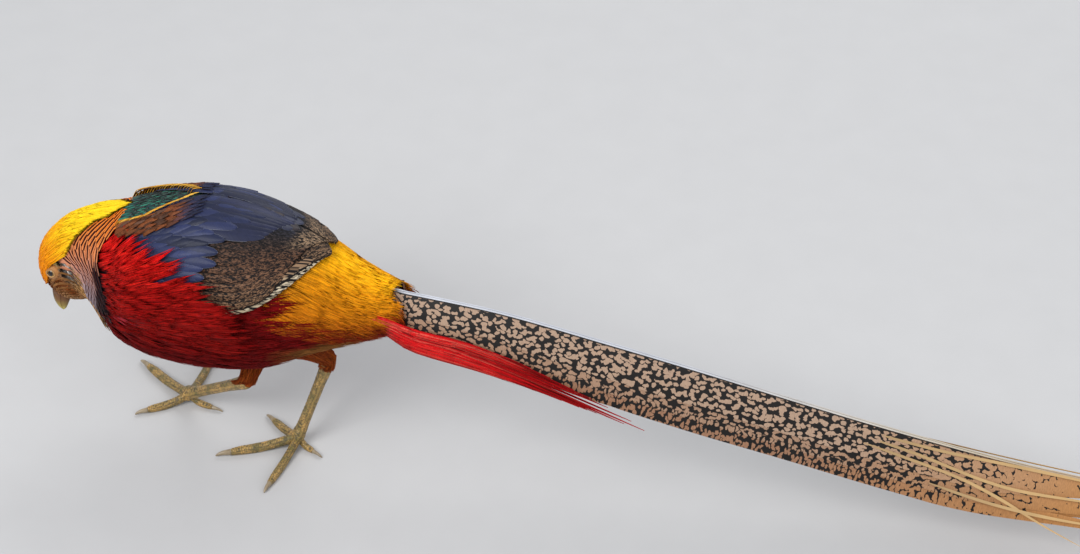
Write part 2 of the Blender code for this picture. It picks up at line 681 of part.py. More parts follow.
def keep_off_middle(mesh, side):
    """Holds a mesh on its own side of the middle plane, half a gap away from it."""
    for vert in mesh.vertices:
        vert.co.y = side * max(side * vert.co.y, GAP / 2 * MM * 1.2)


def toe_path(root, tip, claw, radius):
    """Toe's middle line from the foot's centre to the claw's base, in mm, and the claw's own line.

    The far joints sit low enough for their undersides to be cut off flat by the floor.
    """
    root, tip = np.array((*root, 0.0)), np.array((*tip, 0.0))
    run = tip - root
    length = np.linalg.norm(run)
    part = np.array((0.0, 0.3, 0.6, 0.85, 1.0)) * (length - claw) / length
    path = root + run * part[:, None]
    path[:, 2] = (7.0, 1.35 * radius, 0.76 * radius, 0.76 * radius, 0.7 * radius)
    far = length - claw * np.array((1.0, 0.55, 0.2, 0.0)) + GAP * np.array((1.5, 0, 0, 0))
    nail = root + run * (far / length)[:, None]
    nail[:, 2] = np.array((0.72, 0.82, 0.6, 0.25)) * radius
    return path, nail


def make_leg(side_name, torso, rump):
    """Foot with its toes and claws, scaly shank and feathered thigh."""
    foot_data = FEET[side_name]
    root = np.array((*foot_data["root"], 8.0))
    hock, knee = np.array(foot_data["hock"], float), np.array(foot_data["knee"], float)
    shank = hock - root
    shank /= np.linalg.norm(shank)
    parted = root + shank * TARSUS_STEP
    foot = tube(
        "foot_" + side_name, "olive_horn", [root - (0, 0, 3.5), root + (0, 0, 1.0), root + shank * 7, parted],
        [(4.5, 3.5), (5.6, 5.0), (4.6, 4.4), (4.2, 4.0)], 10,
    )
    toes = []
    for toe, tip in foot_data["toes"].items():
        radius = TOE_RADIUS[toe]
        path, claw = toe_path(foot_data["root"], tip, CLAW_LENGTH[toe], radius)
        swell = np.array((1.15, 1.0, 1.06, 0.96, 0.8)) * radius
        toes.append(tube("toe", "olive_horn", path, np.stack([swell, swell * 1.05], 1), 10, True))
        thin = np.array((0.62, 0.5, 0.34, 0.12)) * radius
        tube("claw_%s_%s" % (side_name, toe), "claw_horn", claw, np.stack([thin, thin * 1.15], 1), 8, True)
    boolean(foot, toes, "UNION")
    line = [parted + shank * GAP, parted + (hock - parted) * 0.3, parted + (hock - parted) * 0.7]
    line += [hock - shank * 3, hock + shank * 3]
    width = [(4.2, 4.0), (3.7, 3.8), (4.0, 4.1), (5.4, 5.2), (4.6, 4.4)]
    tarsus = tube("tarsus_" + side_name, "olive_horn", line, width, 12)
    up = knee - hock
    reach = [hock + up * part for part in (-0.02, 0.12, 0.35, 0.7, 1.0)]
    width = [(5.0, 5.0), (7.5, 7.5), (10.5, 11), (15, 17), (16, 20)]
    thigh = tube("thigh_" + side_name, "rufous", reach, width, 14)
    cut_clear(thigh, torso, rump, tarsus)
    return foot, tarsus, thigh


def stand_on_origin():
    """Moves the whole bird so that the middle of its box's underside is the origin."""
    pieces = [thing for thing in bpy.data.objects if thing.type == "MESH"]
    points = np.concatenate([np.array([vert.co[:] for vert in thing.data.vertices]) for thing in pieces])
    low, high = points.min(0), points.max(0)
    shift = np.array((-(low[0] + high[0]) / 2, -(low[1] + high[1]) / 2, -low[2]))
    for thing in pieces:
        flat = np.array([vert.co[:] for vert in thing.data.vertices]) + shift
        thing.data.vertices.foreach_set("co", flat.astype(np.float32).ravel())
        thing.data.update()


def main():
    clear_scene()
    make_head()
    make_bill()
    for side, name in ((-1, "left"), (1, "right")):
        sphere("eye_" + name, "eye", eye_centre(side), EYE_R, 8, 12, eye_axis(side))
    make_neck()
    torso, rump = make_torso(), make_rump()
    for side in (-1, 1):
        make_wing(side)
        make_tail(side)
    for name in FEET:
        make_leg(name, torso, rump)
    stand_on_origin()


main()
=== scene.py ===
import math

import bpy
import numpy as np
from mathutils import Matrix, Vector


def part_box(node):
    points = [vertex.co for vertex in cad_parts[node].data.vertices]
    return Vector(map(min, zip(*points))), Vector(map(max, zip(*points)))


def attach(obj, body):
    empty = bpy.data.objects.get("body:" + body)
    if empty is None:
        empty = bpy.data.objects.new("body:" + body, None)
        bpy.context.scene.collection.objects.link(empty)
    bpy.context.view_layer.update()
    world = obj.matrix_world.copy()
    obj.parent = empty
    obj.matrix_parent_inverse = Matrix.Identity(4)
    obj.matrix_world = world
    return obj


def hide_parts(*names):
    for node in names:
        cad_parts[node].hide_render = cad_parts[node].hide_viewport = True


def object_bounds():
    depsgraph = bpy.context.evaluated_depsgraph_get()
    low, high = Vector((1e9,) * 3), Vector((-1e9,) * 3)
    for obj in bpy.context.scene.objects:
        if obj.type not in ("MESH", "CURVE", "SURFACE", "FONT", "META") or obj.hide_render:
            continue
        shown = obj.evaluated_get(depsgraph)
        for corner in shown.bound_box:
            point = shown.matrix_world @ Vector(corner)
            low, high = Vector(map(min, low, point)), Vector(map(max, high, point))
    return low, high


# Golden pheasant cock, life size, walking with its head down. Places on the body are read as
# s, from the bill base to the tail, theta, degrees round from the top of the back, and a height in mm.

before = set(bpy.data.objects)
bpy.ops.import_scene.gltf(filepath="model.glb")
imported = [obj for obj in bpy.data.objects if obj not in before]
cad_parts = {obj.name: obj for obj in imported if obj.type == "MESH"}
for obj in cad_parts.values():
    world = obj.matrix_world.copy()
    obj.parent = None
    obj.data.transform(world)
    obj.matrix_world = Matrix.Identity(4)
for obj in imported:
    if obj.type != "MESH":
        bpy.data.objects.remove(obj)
cadBox = [list(corner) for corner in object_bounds()]
print("frame loaded", cadBox)

mm = 0.001
draw = np.random.default_rng(7)
bothSides = ((-1, "Left"), (1, "Right"))  # sign of theta and name of each side of the bird


bodyShape = {
    # top x, top z, bottom x, bottom z, shift y, half width, in mm, one row for each step of s
    "stations": np.array((
        (-126, 117.5, -114, 109.5, -9.5, 5.5), (-130.2, 125.5, -108.5, 107.5, -8.5, 10.0),
        (-131.8, 137, -104, 107, -7.0, 13.5), (-128.8, 150, -101, 106.5, -5.0, 16.0),
        (-121, 161, -98.5, 105.5, -3.0, 18.0), (-109, 171.5, -95, 101, -1.5, 21.0),
        (-91, 180, -91, 89, 0.0, 27.0), (-68, 186.5, -82, 77, 0.0, 37.0),
        (-42, 192, -52, 70, 0.0, 49.0), (-8, 198, -14, 67, 0.0, 52.5),
        (27, 192, 25, 73, 0.0, 51.0), (58, 179, 58, 89, 0.0, 43.0),
        (90, 160, 86, 104, 0.0, 29.0), (113, 151, 112, 118, 0.0, 18.0),
        (128, 148, 126, 127, 0.0, 11.0), (151, 147, 146, 118, 0.0, 13.0), (181, 143, 176, 109, 0.0, 16.0))),
    "roll": 8.0,  # degrees that the back leans to the bird's right
    "rolled": ((6.5, 8.0, 11.5, 13.5), (0, 1, 1, 0)),  # stations, and the part of the roll at each
    "eyeS": 2.9, "eyeTheta": 68.0, "eyeRadius": 4.4, "eyeDepth": 2.4,
}


def rowsAt(table, s):
    # Catmull-Rom curve through the rows: half of 2b + (c-a)u + (2a-5b+4c-d)u^2 + (3b-a-3c+d)u^3
    table = np.asarray(table, float)
    s = np.clip(np.asarray(s, float), 0, len(table) - 1)
    i = np.clip(np.floor(s).astype(int), 0, len(table) - 2)
    u = (s - i)[..., None]
    a, b, c, d = (table[np.clip(i + k, 0, len(table) - 1)] for k in (-1, 0, 1, 2))
    return 0.5 * (2 * b + (c - a) * u + (2 * a - 5 * b + 4 * c - d) * u**2 + (3 * b - a - 3 * c + d) * u**3)


def unit(v):
    # The vector over its own length
    return v / np.maximum(np.linalg.norm(v, axis=-1, keepdims=True), 1e-9)


def between(x, start, end):
    # 0 up to start and 1 from end on, in a straight line from one to the other; start may be the larger
    return np.clip((np.asarray(x) - start) / (end - start), 0, 1)


def bodyPoint(s, theta, h=0.0):
    # Point on the ellipse of station s at the angle theta from its top, h mm out along the ellipse's normal
    s, theta, h = np.broadcast_arrays(*(np.asarray(v, float) for v in (s, theta, h)))
    row = rowsAt(bodyShape["stations"], s)
    angle = np.radians(theta + bodyShape["roll"] * np.interp(s, *bodyShape["rolled"]))
    middle = np.stack([(row[..., 0] + row[..., 2]) / 2, row[..., 4], (row[..., 1] + row[..., 3]) / 2], -1)
    halfUp = np.stack([row[..., 0] - row[..., 2], 0 * angle, row[..., 1] - row[..., 3]], -1) / 2
    tall = np.linalg.norm(halfUp, axis=-1, keepdims=True)
    halfUp = halfUp / tall
    side = np.array((0.0, 1.0, 0.0))
    cos, sin = np.cos(angle)[..., None], np.sin(angle)[..., None]
    wide = row[..., 5:6]
    outward = unit(halfUp * cos * wide + side * sin * tall)
    return middle + halfUp * tall * cos + side * wide * sin + outward * h[..., None]


def bodyAxes(s, theta):
    # Change of place for one step of s and for one degree of theta, and the outward unit normal
    near = 0.02
    alongS = (bodyPoint(s + near, theta) - bodyPoint(s - near, theta)) / (2 * near)
    alongT = bodyPoint(s, theta + 0.5) - bodyPoint(s, theta - 0.5)
    return alongS, alongT, unit(np.cross(alongS, alongT))


eyeLow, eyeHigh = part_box("eye_left")
eyePlace = bodyPoint(bodyShape["eyeS"], -bodyShape["eyeTheta"], -bodyShape["eyeDepth"])
toPart = np.array((eyeLow + eyeHigh) / 2) / mm - eyePlace  # mm from the body's own origin to the frame's


def linear(code):
    # sRGB hex to linear light: x/12.92 below 0.04045, else ((x+0.055)/1.055)^2.4; linear values pass through
    if not isinstance(code, str):
        return np.asarray(code)
    value = np.array([int(code[i:i + 2], 16) for i in (1, 3, 5)]) / 255
    return np.where(value < 0.04045, value / 12.92, ((value + 0.055) / 1.055) ** 2.4)


def blend(t, *colours):
    # Mixes a row of colours, evenly spaced, by t from 0 to 1
    colours = np.array([linear(colour) for colour in colours])
    t = np.clip(np.asarray(t, float), 0, 1) * (len(colours) - 1)
    low = np.clip(t.astype(int), 0, len(colours) - 2)
    u = (t - low)[..., None]
    return colours[low] * (1 - u) + colours[low + 1] * u


def over(tint, weight, colour):
    # Lays a colour over the tint, by a weight from 0 to 1 for each place
    weight = np.clip(np.asarray(weight, float), 0, 1)[..., None]
    return tint * (1 - weight) + linear(colour) * weight


# Attributes of the points: tint is their colour; vane is mm across, mm along and a number for each feather;
# place is -1 to 1 across, 0 to 1 along and that number
def addNode(tree, kind, settings, out=0):
    # settings name the node's own properties or its inputs; a socket among them is linked to its input, a hex
    # code is turned to linear light, and stops are the places and colours of a ramp.
    # Gives back the output of that number or name, or all of them where out is None
    node = tree.nodes.new("ShaderNode" + kind)
    for key, value in settings.items():
        if key == "stops":
            elements = node.color_ramp.elements
            for n, (place, colour) in enumerate((value[0], value[-1], *value[1:-1])):
                element = elements[n] if n < 2 else elements.new(place)
                element.position, element.color = place, (*linear(colour), 1)
        elif isinstance(value, bpy.types.NodeSocket):
            tree.links.new(value, node.inputs[key])
        elif isinstance(key, str) and hasattr(node, key) and key not in node.inputs:
            setattr(node, key, value)
        else:
            node.inputs[key].default_value = (*linear(value), 1) if isinstance(value, str) else value
    return node.outputs if out is None else node.outputs[out]


def newMaterial(name, roughness, specular, coat=0.0, sheen=0.0):
    # Principled material and its node tree
    made = bpy.data.materials.new(name)
    made.use_nodes = True
    shader = made.node_tree.nodes["Principled BSDF"]
    for key, value in (("Roughness", roughness), ("Specular IOR Level", specular), ("Coat Weight", coat),
                       ("Sheen Weight", sheen)):
        shader.inputs[key].default_value = value
    return made, made.node_tree


def paint(tree, colour, height=None, strength=0.0, depth=0.0003):
    # Gives the material its colour and, from a height, a fine relief of this depth in metres
    shader = tree.nodes["Principled BSDF"]
    tree.links.new(colour, shader.inputs["Base Color"])
    if height:
        relief = addNode(tree, "Bump", {"Strength": strength, "Distance": depth, "Height": height})
        tree.links.new(relief, shader.inputs["Normal"])


def featherMaterial(name, roughness, specular, streak, barb, edge=None, gloss=0.0):
    # Keratin barbs zipped into a soft surface: the tint of the place, broken by fine lines that run out
    # and forward from the shaft, barb mm apart, and by a slower change from feather to feather. An edge is
    # a colour over the rim, from one to another value of the larger of across^2 and along^12
    made, tree = newMaterial(name, roughness, specular, gloss)
    vane = addNode(tree, "Attribute", {"attribute_name": "vane"}, "Vector")
    across, along, lot = addNode(tree, "SeparateXYZ", {0: vane}, None)
    slant = addNode(tree, "Math",
                    {"operation": "MULTIPLY_ADD",
                     0: addNode(tree, "Math", {"operation": "ABSOLUTE", 0: across}), 1: -0.9, 2: along})
    field = addNode(tree, "CombineXYZ", {0: slant, 2: lot})
    lines = addNode(tree, "TexNoise", {"Vector": field, "Scale": 1.0 / barb, "Roughness": 0.6})
    grade = addNode(tree, "MapRange",
                    {"Value": lines, "From Min": 0.3, "From Max": 0.7, "To Min": 1 - streak,
                     "To Max": 1 + streak})
    change = addNode(tree, "MapRange", {"Value": lot, "To Min": 1 - streak * 0.7, "To Max": 1 + streak * 0.7})
    colour = addNode(tree, "VectorMath",
                     {"operation": "SCALE",
                      0: addNode(tree, "Attribute", {"attribute_name": "tint"}, "Color"),
                      "Scale": addNode(tree, "Math", {"operation": "MULTIPLY", 0: grade, 1: change})})
    if edge:
        start, end, code = edge
        beside, part, _ = addNode(tree, "SeparateXYZ",
                                  {0: addNode(tree, "Attribute", {"attribute_name": "place"}, "Vector")},
                                  None)
        beside = addNode(tree, "Math",
                         {"operation": "POWER",
                          0: addNode(tree, "Math", {"operation": "ABSOLUTE", 0: beside}), 1: 2.0})
        rim = addNode(tree, "Math",
                      {"operation": "MAXIMUM", 0: beside,
                       1: addNode(tree, "Math", {"operation": "POWER", 0: part, 1: 12.0})})
        colour = addNode(tree, "Mix",
                         {"data_type": "RGBA",
                          0: addNode(tree, "MapRange", {"Value": rim, "From Min": start, "From Max": end}),
                          6: colour, 7: code}, 2)
    paint(tree, colour, lines, 0.35)
    return made


def buildMesh(name, points, faces, materials, slot, values, sharp=None, body="root"):
    # points in body mm; faces an array of triangles or quads; values name point attributes and their arrays
    mesh = bpy.data.meshes.new(name)
    points = (np.asarray(points, float).reshape(-1, 3) + toPart) * mm
    faces = np.asarray(faces)
    mesh.vertices.add(len(points))
    mesh.vertices.foreach_set("co", points.astype(np.float32).ravel())
    mesh.loops.add(faces.size)
    mesh.loops.foreach_set("vertex_index", faces.astype(np.int32).ravel())
    mesh.polygons.add(len(faces))
    mesh.polygons.foreach_set("loop_start", np.arange(0, faces.size, faces.shape[1], dtype=np.int32))
    mesh.update(calc_edges=True)
    for material in materials:
        mesh.materials.append(material)
    for key, value in values.items():
        value = np.asarray(value, float)
        if key == "OFBake":
            layer = mesh.uv_layers.new(name="OFBake")
            layer.data.foreach_set("uv", value.reshape(-1, 2)[faces.ravel()].astype(np.float32).ravel())
        elif key == "materialIndex":
            mesh.polygons.foreach_set("material_index", value.astype(np.int32).ravel())
        elif key == "tint":
            value = np.hstack([value.reshape(-1, 3), np.ones((value.size // 3, 1))])
            layer = mesh.attributes.new(key, "FLOAT_COLOR", "POINT")
            layer.data.foreach_set("color", value.astype(np.float32).ravel())
        else:
            layer = mesh.attributes.new(key, "FLOAT_VECTOR", "POINT")
            layer.data.foreach_set("vector", value.astype(np.float32).ravel())
    mesh.shade_smooth()
    if sharp:
        mesh.set_sharp_from_angle(angle=math.radians(sharp))
    piece = bpy.data.objects.new(name, mesh)
    bpy.context.scene.collection.objects.link(piece)
    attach(piece, body)
    return piece


def gridFaces(rows, columns, closed=False):
    # Quads of a grid of points, wound so that row x column points outwards
    i, j = np.meshgrid(np.arange(rows - 1), np.arange(columns if closed else columns - 1), indexing="ij")
    k = (j + 1) % columns
    corners = (i * columns + j, (i + 1) * columns + j, (i + 1) * columns + k, i * columns + k)
    return np.stack(corners, -1).reshape(-1, 4)


def sheetFaces(rows, columns, side):
    # Quads of a thin sheet: the grid of its outer side, the same grid under it, and the rim that joins them
    size = rows * columns
    number = np.arange(size).reshape(rows, columns)
    quads = gridFaces(rows, columns)
    rim = np.concatenate([number[0], number[1:, -1], number[-1, -2::-1], number[-2:0:-1, 0]])
    after = np.roll(rim, -1)
    edge = np.stack([after, rim, rim + size, after + size], -1)
    if side < 0:
        quads, edge = quads[:, ::-1], edge[:, ::-1]
    return np.concatenate([quads, (quads + size)[:, ::-1], edge])


def tubeGrid(path, across, up, rows, columns, scute=0.0, pitch=2.6):
    # Round bar along a smooth path: a turn round each place, across and up mm wide, with scutes that swell
    # like a row of saddles, pitch mm apart, over the front half; nothing of it lies under the floor
    path = np.asarray(path, float)
    at = np.linspace(0, len(path) - 1, rows)
    line = rowsAt(path, at)
    wide, tall = (np.interp(at, np.arange(len(path)), v) for v in (across, up))
    along = unit(np.gradient(line, axis=0))
    side = np.cross(along, (0.0, 0.0, 1.0))
    upright = np.linalg.norm(side, axis=1) < 0.3
    side[upright] = np.cross(along[upright], (1.0, 0.0, 0.0))
    side = unit(side)
    top = np.cross(side, along)
    turn = np.arange(columns) * 2 * math.pi / columns
    long = np.concatenate([[0], np.cumsum(np.linalg.norm(np.diff(line, axis=0), axis=1))])
    wave = np.abs(np.sin(math.pi * long / pitch))[:, None] ** 0.5 - 0.6
    front = np.clip(np.sin(turn) * 1.6, 0, 1)[None]
    swell = 1 + scute * wave * front / np.maximum(wide, 0.5)[:, None]
    points = (line[:, None] + side[:, None] * (wide[:, None] * np.cos(turn) * swell)[..., None]
              + top[:, None] * (tall[:, None] * np.sin(turn) * swell)[..., None])
    points[..., 2] = np.maximum(points[..., 2], 0.0)
    return points, np.stack(np.broadcast_arrays(turn[None] / math.pi, long[:, None], front), -1)


def closeGrid(points, vane):
    # Points, triangles and values of a closed tube, each end drawn to its middle
    rows, columns = points.shape[:2]
    flat = np.concatenate([points.reshape(-1, 3), points[0].mean(0)[None], points[-1].mean(0)[None]])
    flatVane = np.concatenate([vane.reshape(-1, 3), vane[0].mean(0)[None], vane[-1].mean(0)[None]])
    quads = gridFaces(rows, columns, True)[:, ::-1]
    j = np.arange(columns)
    k = (j + 1) % columns
    last = (rows - 1) * columns
    first = np.stack([k, j, np.full(columns, rows * columns)], -1)
    second = np.stack([last + j, last + k, np.full(columns, rows * columns + 1)], -1)
    return flat, np.concatenate([quads[:, [0, 1, 2]], quads[:, [0, 2, 3]], first, second]), flatVane


def joined(parts):
    # Several meshes as one: their points one after another, and their faces moved on to them
    starts = np.cumsum([0] + [len(points) for points, _ in parts])
    faces = [faces + start for (_, faces), start in zip(parts, starts)]
    return np.concatenate([points for points, _ in parts]), np.concatenate(faces)


def walk(s, theta, length, heading, count):
    # Places along a course over the body: each step of length/count mm turns into s by cos(heading) over
    # the size of a step of s, and into theta by sin(heading) over the size of a degree
    s, theta = np.array(s, float), np.array(theta, float)
    heading = np.broadcast_to(np.asarray(heading, float), s.shape)
    step = np.broadcast_to(np.asarray(length, float), s.shape) / (count - 1)
    places = [(s, theta)]
    for _ in range(count - 1):
        alongS, alongT, _ = bodyAxes(s, theta)
        s = s + step * np.cos(heading) / np.linalg.norm(alongS, axis=-1)
        theta = theta + step * np.sin(heading) / np.linalg.norm(alongT, axis=-1)
        places.append((s, theta))
    return np.stack([p[0] for p in places], 1), np.stack([p[1] for p in places], 1)


def onBody(s, theta, h):
    # Path and outward direction of courses that run over the body at the heights h
    outward = bodyAxes(s, theta)[2]
    return bodyPoint(s, theta) + outward * np.broadcast_to(h, np.shape(s))[..., None], outward


def onMap(s, theta):
    # Place of a root on the unwrap of the skin: s along it, theta round it
    return np.stack([0.02 + 0.96 * np.asarray(s) / 14.2, 0.5 + 0.48 * np.asarray(theta) / 190], -1)


def scatter(count, sRange, thetaRange, density):
    # Even scatter by steps of the plastic number, thinned by the area that each place stands for
    i = np.arange(1, count + 1)[:, None]
    x = (0.5 + i * np.array((0.8191725134, 0.6710436067, 0.5497004779))) % 1
    s = sRange[0] + (sRange[1] - sRange[0]) * x[:, 0]
    theta = thetaRange[0] + (thetaRange[1] - thetaRange[0]) * x[:, 1]
    alongS, alongT, _ = bodyAxes(s, theta)
    area = np.linalg.norm(np.cross(alongS, alongT), axis=-1)
    kept = x[:, 2] < area / area.max() * density(s, theta)
    return s[kept], theta[kept]


feather = {
    "most": 198000,  # triangles of one piece
    "cell": 0.003, "margin": 0.92,  # size of a patch on the skin's map, and its part of a field of its own
    "point": 0.02,  # mm, below which a tip is drawn to a point
    "sharp": 62,  # degrees
}
vanePart = np.array((0, 0.18, 0.36, 0.52, 0.66, 0.78, 0.87, 0.935, 0.98, 1.0))  # nodes crowd towards the tip


def growFeathers(name, path, outward, half, thick, columns, tint, root, material, slot, camber=0.0,
                 square=0.0, part=None):
    # Each feather is its course swept by a flat lens: columns points over the top from edge to edge at
    # half * x, raised by camber * (1 - x^2), and as many below, thick mm lower. Square ends pull the corners
    # back. Its patch of the bake lies at its root on the skin's map, or in a field of its own without a root
    count, nodes = path.shape[:2]
    strand = columns == 2  # three-sided, its ridge outwards
    ring = 3 if strand else 2 * columns - 2
    triangles = (nodes - 1) * 2 * ring + (2 if strand else 4 * columns - 8)
    share = -(-count // (feather["most"] // triangles))
    if share > 1:  # too many for one piece: several pieces alike, each with every nth feather
        for n in range(share):
            pick = lambda v: v[n::share] if np.ndim(v) > 1 and len(v) == count else v
            growFeathers(name + str(n + 1), path[n::share], outward[n::share], pick(half), pick(thick),
                         columns, pick(tint), pick(root), material, slot, pick(camber), square, part)
        return
    forward = unit(np.gradient(path, axis=1))
    across = unit(np.cross(outward, forward))
    up = np.cross(forward, across)
    half, thick, camber = (np.broadcast_to(v, (count, nodes))[..., None] for v in (half, thick, camber))
    if strand:
        x = np.array((-1.0, 0.0, 1.0))
        y = thick * np.array((0.0, 1.0, 0.0))
    else:
        top = np.linspace(-1, 1, columns)
        x = np.concatenate([top, top[-2:0:-1]])
        y = camber * (1 - x**2) - thick * np.concatenate([np.zeros(columns), np.ones(columns - 2)])
    points = (path[..., None, :] + across[..., None, :] * (half * x)[..., None]
              + up[..., None, :] * y[..., None])
    if square:
        pull = square * np.abs(x) ** 3 * np.linspace(0, 1, nodes)[:, None] ** 2
        points = points - forward[..., None, :] * pull[..., None]
    if strand and np.max(half[:, -1]) < feather["point"]:  # the tip is a point: its ring is drawn together
        points[:, -1] = points[:, -1].mean(1, keepdims=True)
    i, j = np.meshgrid(np.arange(nodes - 1), np.arange(ring), indexing="ij")
    k = (j + 1) % ring
    a, b, c, d = i * ring + j, (i + 1) * ring + j, (i + 1) * ring + k, i * ring + k
    sides = np.concatenate([np.stack([a, c, b], -1), np.stack([a, d, c], -1)]).reshape(-1, 3)
    last = (nodes - 1) * ring
    caps = [(0, 2, 1), (last, last + 1, last + 2)] if strand else []
    for j in range(0 if strand else columns - 1):
        below, nextBelow = (ring - j) % ring, ring - j - 1 if j < columns - 2 else columns - 1
        for face in ((j, j + 1, nextBelow), (j, nextBelow, below)):
            if len(set(face)) == 3:
                caps += [face[::-1], tuple(q + last for q in face)]
    one = np.concatenate([sides, np.array(caps)])
    faces = (one[None] + (np.arange(count) * nodes * ring)[:, None, None]).reshape(-1, 3)
    shape = (count, nodes, ring)
    run = np.cumsum(np.linalg.norm(np.diff(path, axis=1), axis=-1), 1)
    long = np.concatenate([np.zeros((count, 1)), run], 1)[..., None]
    part = np.broadcast_to(np.linspace(0, 1, nodes) if part is None else part, (count, nodes))[..., None]
    lot = np.random.default_rng(len(name)).uniform(0, 1, (count, 1, 1))
    x, width, long, part, lot = (np.broadcast_to(v, shape) for v in (x, half * x, long, part, lot))
    local = np.stack([x * 0.5, part - 0.5], -1)
    if root is None:
        wide = math.ceil(math.sqrt(count))
        at = np.stack([np.arange(count) % wide, np.arange(count) // wide], -1)[:, None, None] + 0.5
        uv = (at + local * feather["margin"]) / wide
    else:
        uv = np.asarray(root, float).reshape(count, 1, 1, 2) + local * feather["cell"]
    tint = np.asarray(tint, float)
    tint = np.broadcast_to(tint[:, None, None] if tint.ndim == 2 else tint[:, :, None], (*shape, 3))
    values = {"OFBake": uv, "tint": tint, "vane": np.stack([width, long, lot], -1),
              "place": np.stack([x, part, lot], -1)}
    buildMesh(name, points, faces, [material], slot, values, None if strand else feather["sharp"])
    print(name, count, "feathers", len(faces), "triangles")


def roundEnd(part, start, root=0.5):
    # Half width of a feather: widens as the root of its length, then closes as a half ellipse from start on
    wide = root + (1 - root) * between(part, 0, start) ** 0.6
    close = np.sqrt(np.clip(1 - between(part, start, 1) ** 2, 0, 1))
    return np.maximum(wide * close, 0.05)


def tuftPaths(path, outward, coat):
    # Strands of each tuft lie beside its course, spread mm apart at the root and drawn together towards the
    # tip by the part close; lengths is the range of their lengths as parts of the course
    rng = np.random.default_rng(coat["seed"])
    perTuft, nodes, rough = coat["perTuft"], coat["nodes"], coat["rough"]
    count, steps = path.shape[:2]
    across = unit(np.cross(outward, np.gradient(path, axis=1)))
    offset = (np.linspace(-1, 1, perTuft) + rng.uniform(-0.2, 0.2, (count, perTuft))) * coat["spread"]
    reach = rng.uniform(*coat["lengths"], (count, perTuft))
    at = np.linspace(0, 1, nodes) * reach[..., None] * (steps - 1)
    low = np.clip(at.astype(int), 0, steps - 2)
    u = (at - low)[..., None]
    row = np.arange(count)[:, None, None]
    along = lambda field: field[row, low] * (1 - u) + field[row, low + 1] * u
    part = np.linspace(0, 1, nodes)
    bent = rng.uniform(-rough, rough, (count, perTuft, 1)) * part**2
    sway = offset[..., None] * (1 - coat["close"] * part) + bent
    lift = rng.uniform(-rough, rough, (count, perTuft, 1)) * 0.6 * part
    points = along(path) + along(across) * sway[..., None] + along(outward) * lift[..., None]
    return points.reshape(-1, nodes, 3), unit(along(outward)).reshape(-1, nodes, 3)


def growTufts(name, path, outward, tint, places, coat, material, slot, laid=None):
    # Tufts as their coat says: each strand has a brightness of its own, drawn at random, partly its own tone
    # and partly painted light and shade between strands; it grows lighter from root to tip, partly the duller
    # base of a feather and partly painted shade deep in the coat with painted light on the tips.
    # laid is a weight for each node of a tuft, and the colour that it lays over the tint
    points, normals = tuftPaths(path, outward, coat)
    tint = np.repeat(tint, coat["perTuft"], 0)
    tint = (tint * draw.uniform(*coat["shades"], (len(tint), 1)))[:, None]
    # Painted shade at the roots, deep in the coat, and painted light on the tips
    tint = tint * np.linspace(*coat["rootToTip"], coat["nodes"])[:, None]
    if laid:
        tint = over(tint, np.repeat(laid[0], coat["perTuft"], 0), laid[1])
    half = coat["halfWidth"] * np.array(coat["taper"])
    growFeathers(name, points, normals, half, coat["thick"], 2, tint, np.repeat(places, coat["perTuft"], 0),
                 material, slot)


camera = {"azimuth": 12.0, "elevation": 40.0, "distance": 1.9, "target": (174.3, 203.3, 0.0),
          "focus": 2470.0, "frameWidth": 1080, "sensor": 36.0}


def setCamera():
    # The photograph's view: back from the target along the azimuth and elevation, focus in its pixels
    a, e = math.radians(camera["azimuth"]), math.radians(camera["elevation"])
    back = Vector((math.sin(a) * math.cos(e), -math.cos(a) * math.cos(e), math.sin(e)))
    lens = bpy.data.cameras.new("camera")
    lens.sensor_width = camera["sensor"]
    lens.lens = camera["focus"] / camera["frameWidth"] * camera["sensor"]
    eye = bpy.data.objects.new("camera", lens)
    bpy.context.scene.collection.objects.link(eye)
    eye.location = Vector((np.array(camera["target"]) + toPart) * mm) + back * camera["distance"]
    eye.rotation_euler = (-back).to_track_quat("-Z", "Y").to_euler()
    bpy.context.scene.camera = eye


setCamera()
print("camera set")


skin = {"rows": 150, "columns": 96, "depthBody": 3.4, "depthFace": 1.6, "depthCrest": 3.0, "depthRear": 10.0}
crestColours = ("#d46c04", "#de7804", "#e88a06", "#f2ae0e", "#f7d41c", "#f3c81e")  # forehead to nape


def skinDepth(s, theta):
    # mm that the skin lies under the contour: deep under plumage, shallow on the face
    face = np.interp(s, (0, 3.6, 4.6), (1, 1, 0)) * between(np.abs(theta), 45, 60)
    depths = (skin["depthCrest"], skin["depthBody"], skin["depthBody"], skin["depthRear"])
    deep = np.interp(s, (3.5, 4.5, 12.6, 13.4), depths)
    return deep + (skin["depthFace"] - deep) * face


def mantleEdge(s):
    # Degrees from the ridge where the green mantle ends at s; it closes to a point between the wings
    return np.interp(s, (6.6, 7.1, 7.5, 7.95, 8.3, 8.7, 8.95), (30, 27, 25.5, 23, 16.5, 9, 1))


def crestSide(s):
    # Degrees from the ridge where the crest ends over the face
    return np.interp(s, (0.3, 0.8, 1.3, 1.9, 2.15, 2.4, 2.9, 3.35, 3.6, 4.4, 4.85, 5.15),
                     (22, 42, 57, 66, 65, 58, 55, 57, 60, 59, 56, 45))


def crestEnd(away):
    # Station of the crest's rear edge at this many degrees from the ridge
    return np.interp(away, (0, 4, 13, 19, 26, 39, 55, 62), (7.2, 7.05, 6.7, 6.3, 6.0, 5.5, 5.0, 4.7))


def capeFront(away):
    # Station where the cape begins: under the crest's edge, then behind the cheek
    return np.interp(away, (0, 13, 19, 26, 39, 55, 67, 77, 85, 101, 130),
                     (6.8, 6.4, 6.0, 5.7, 5.2, 4.8, 5.1, 5.7, 5.95, 6.05, 6.1))


def capeRear(away):
    # Station of the cape's rear edge
    return np.interp(away, (0, 16, 32, 41, 50, 60, 76, 88, 105, 135),
                     (7.2, 7.15, 6.93, 6.73, 6.55, 6.53, 6.73, 6.95, 7.12, 7.2))


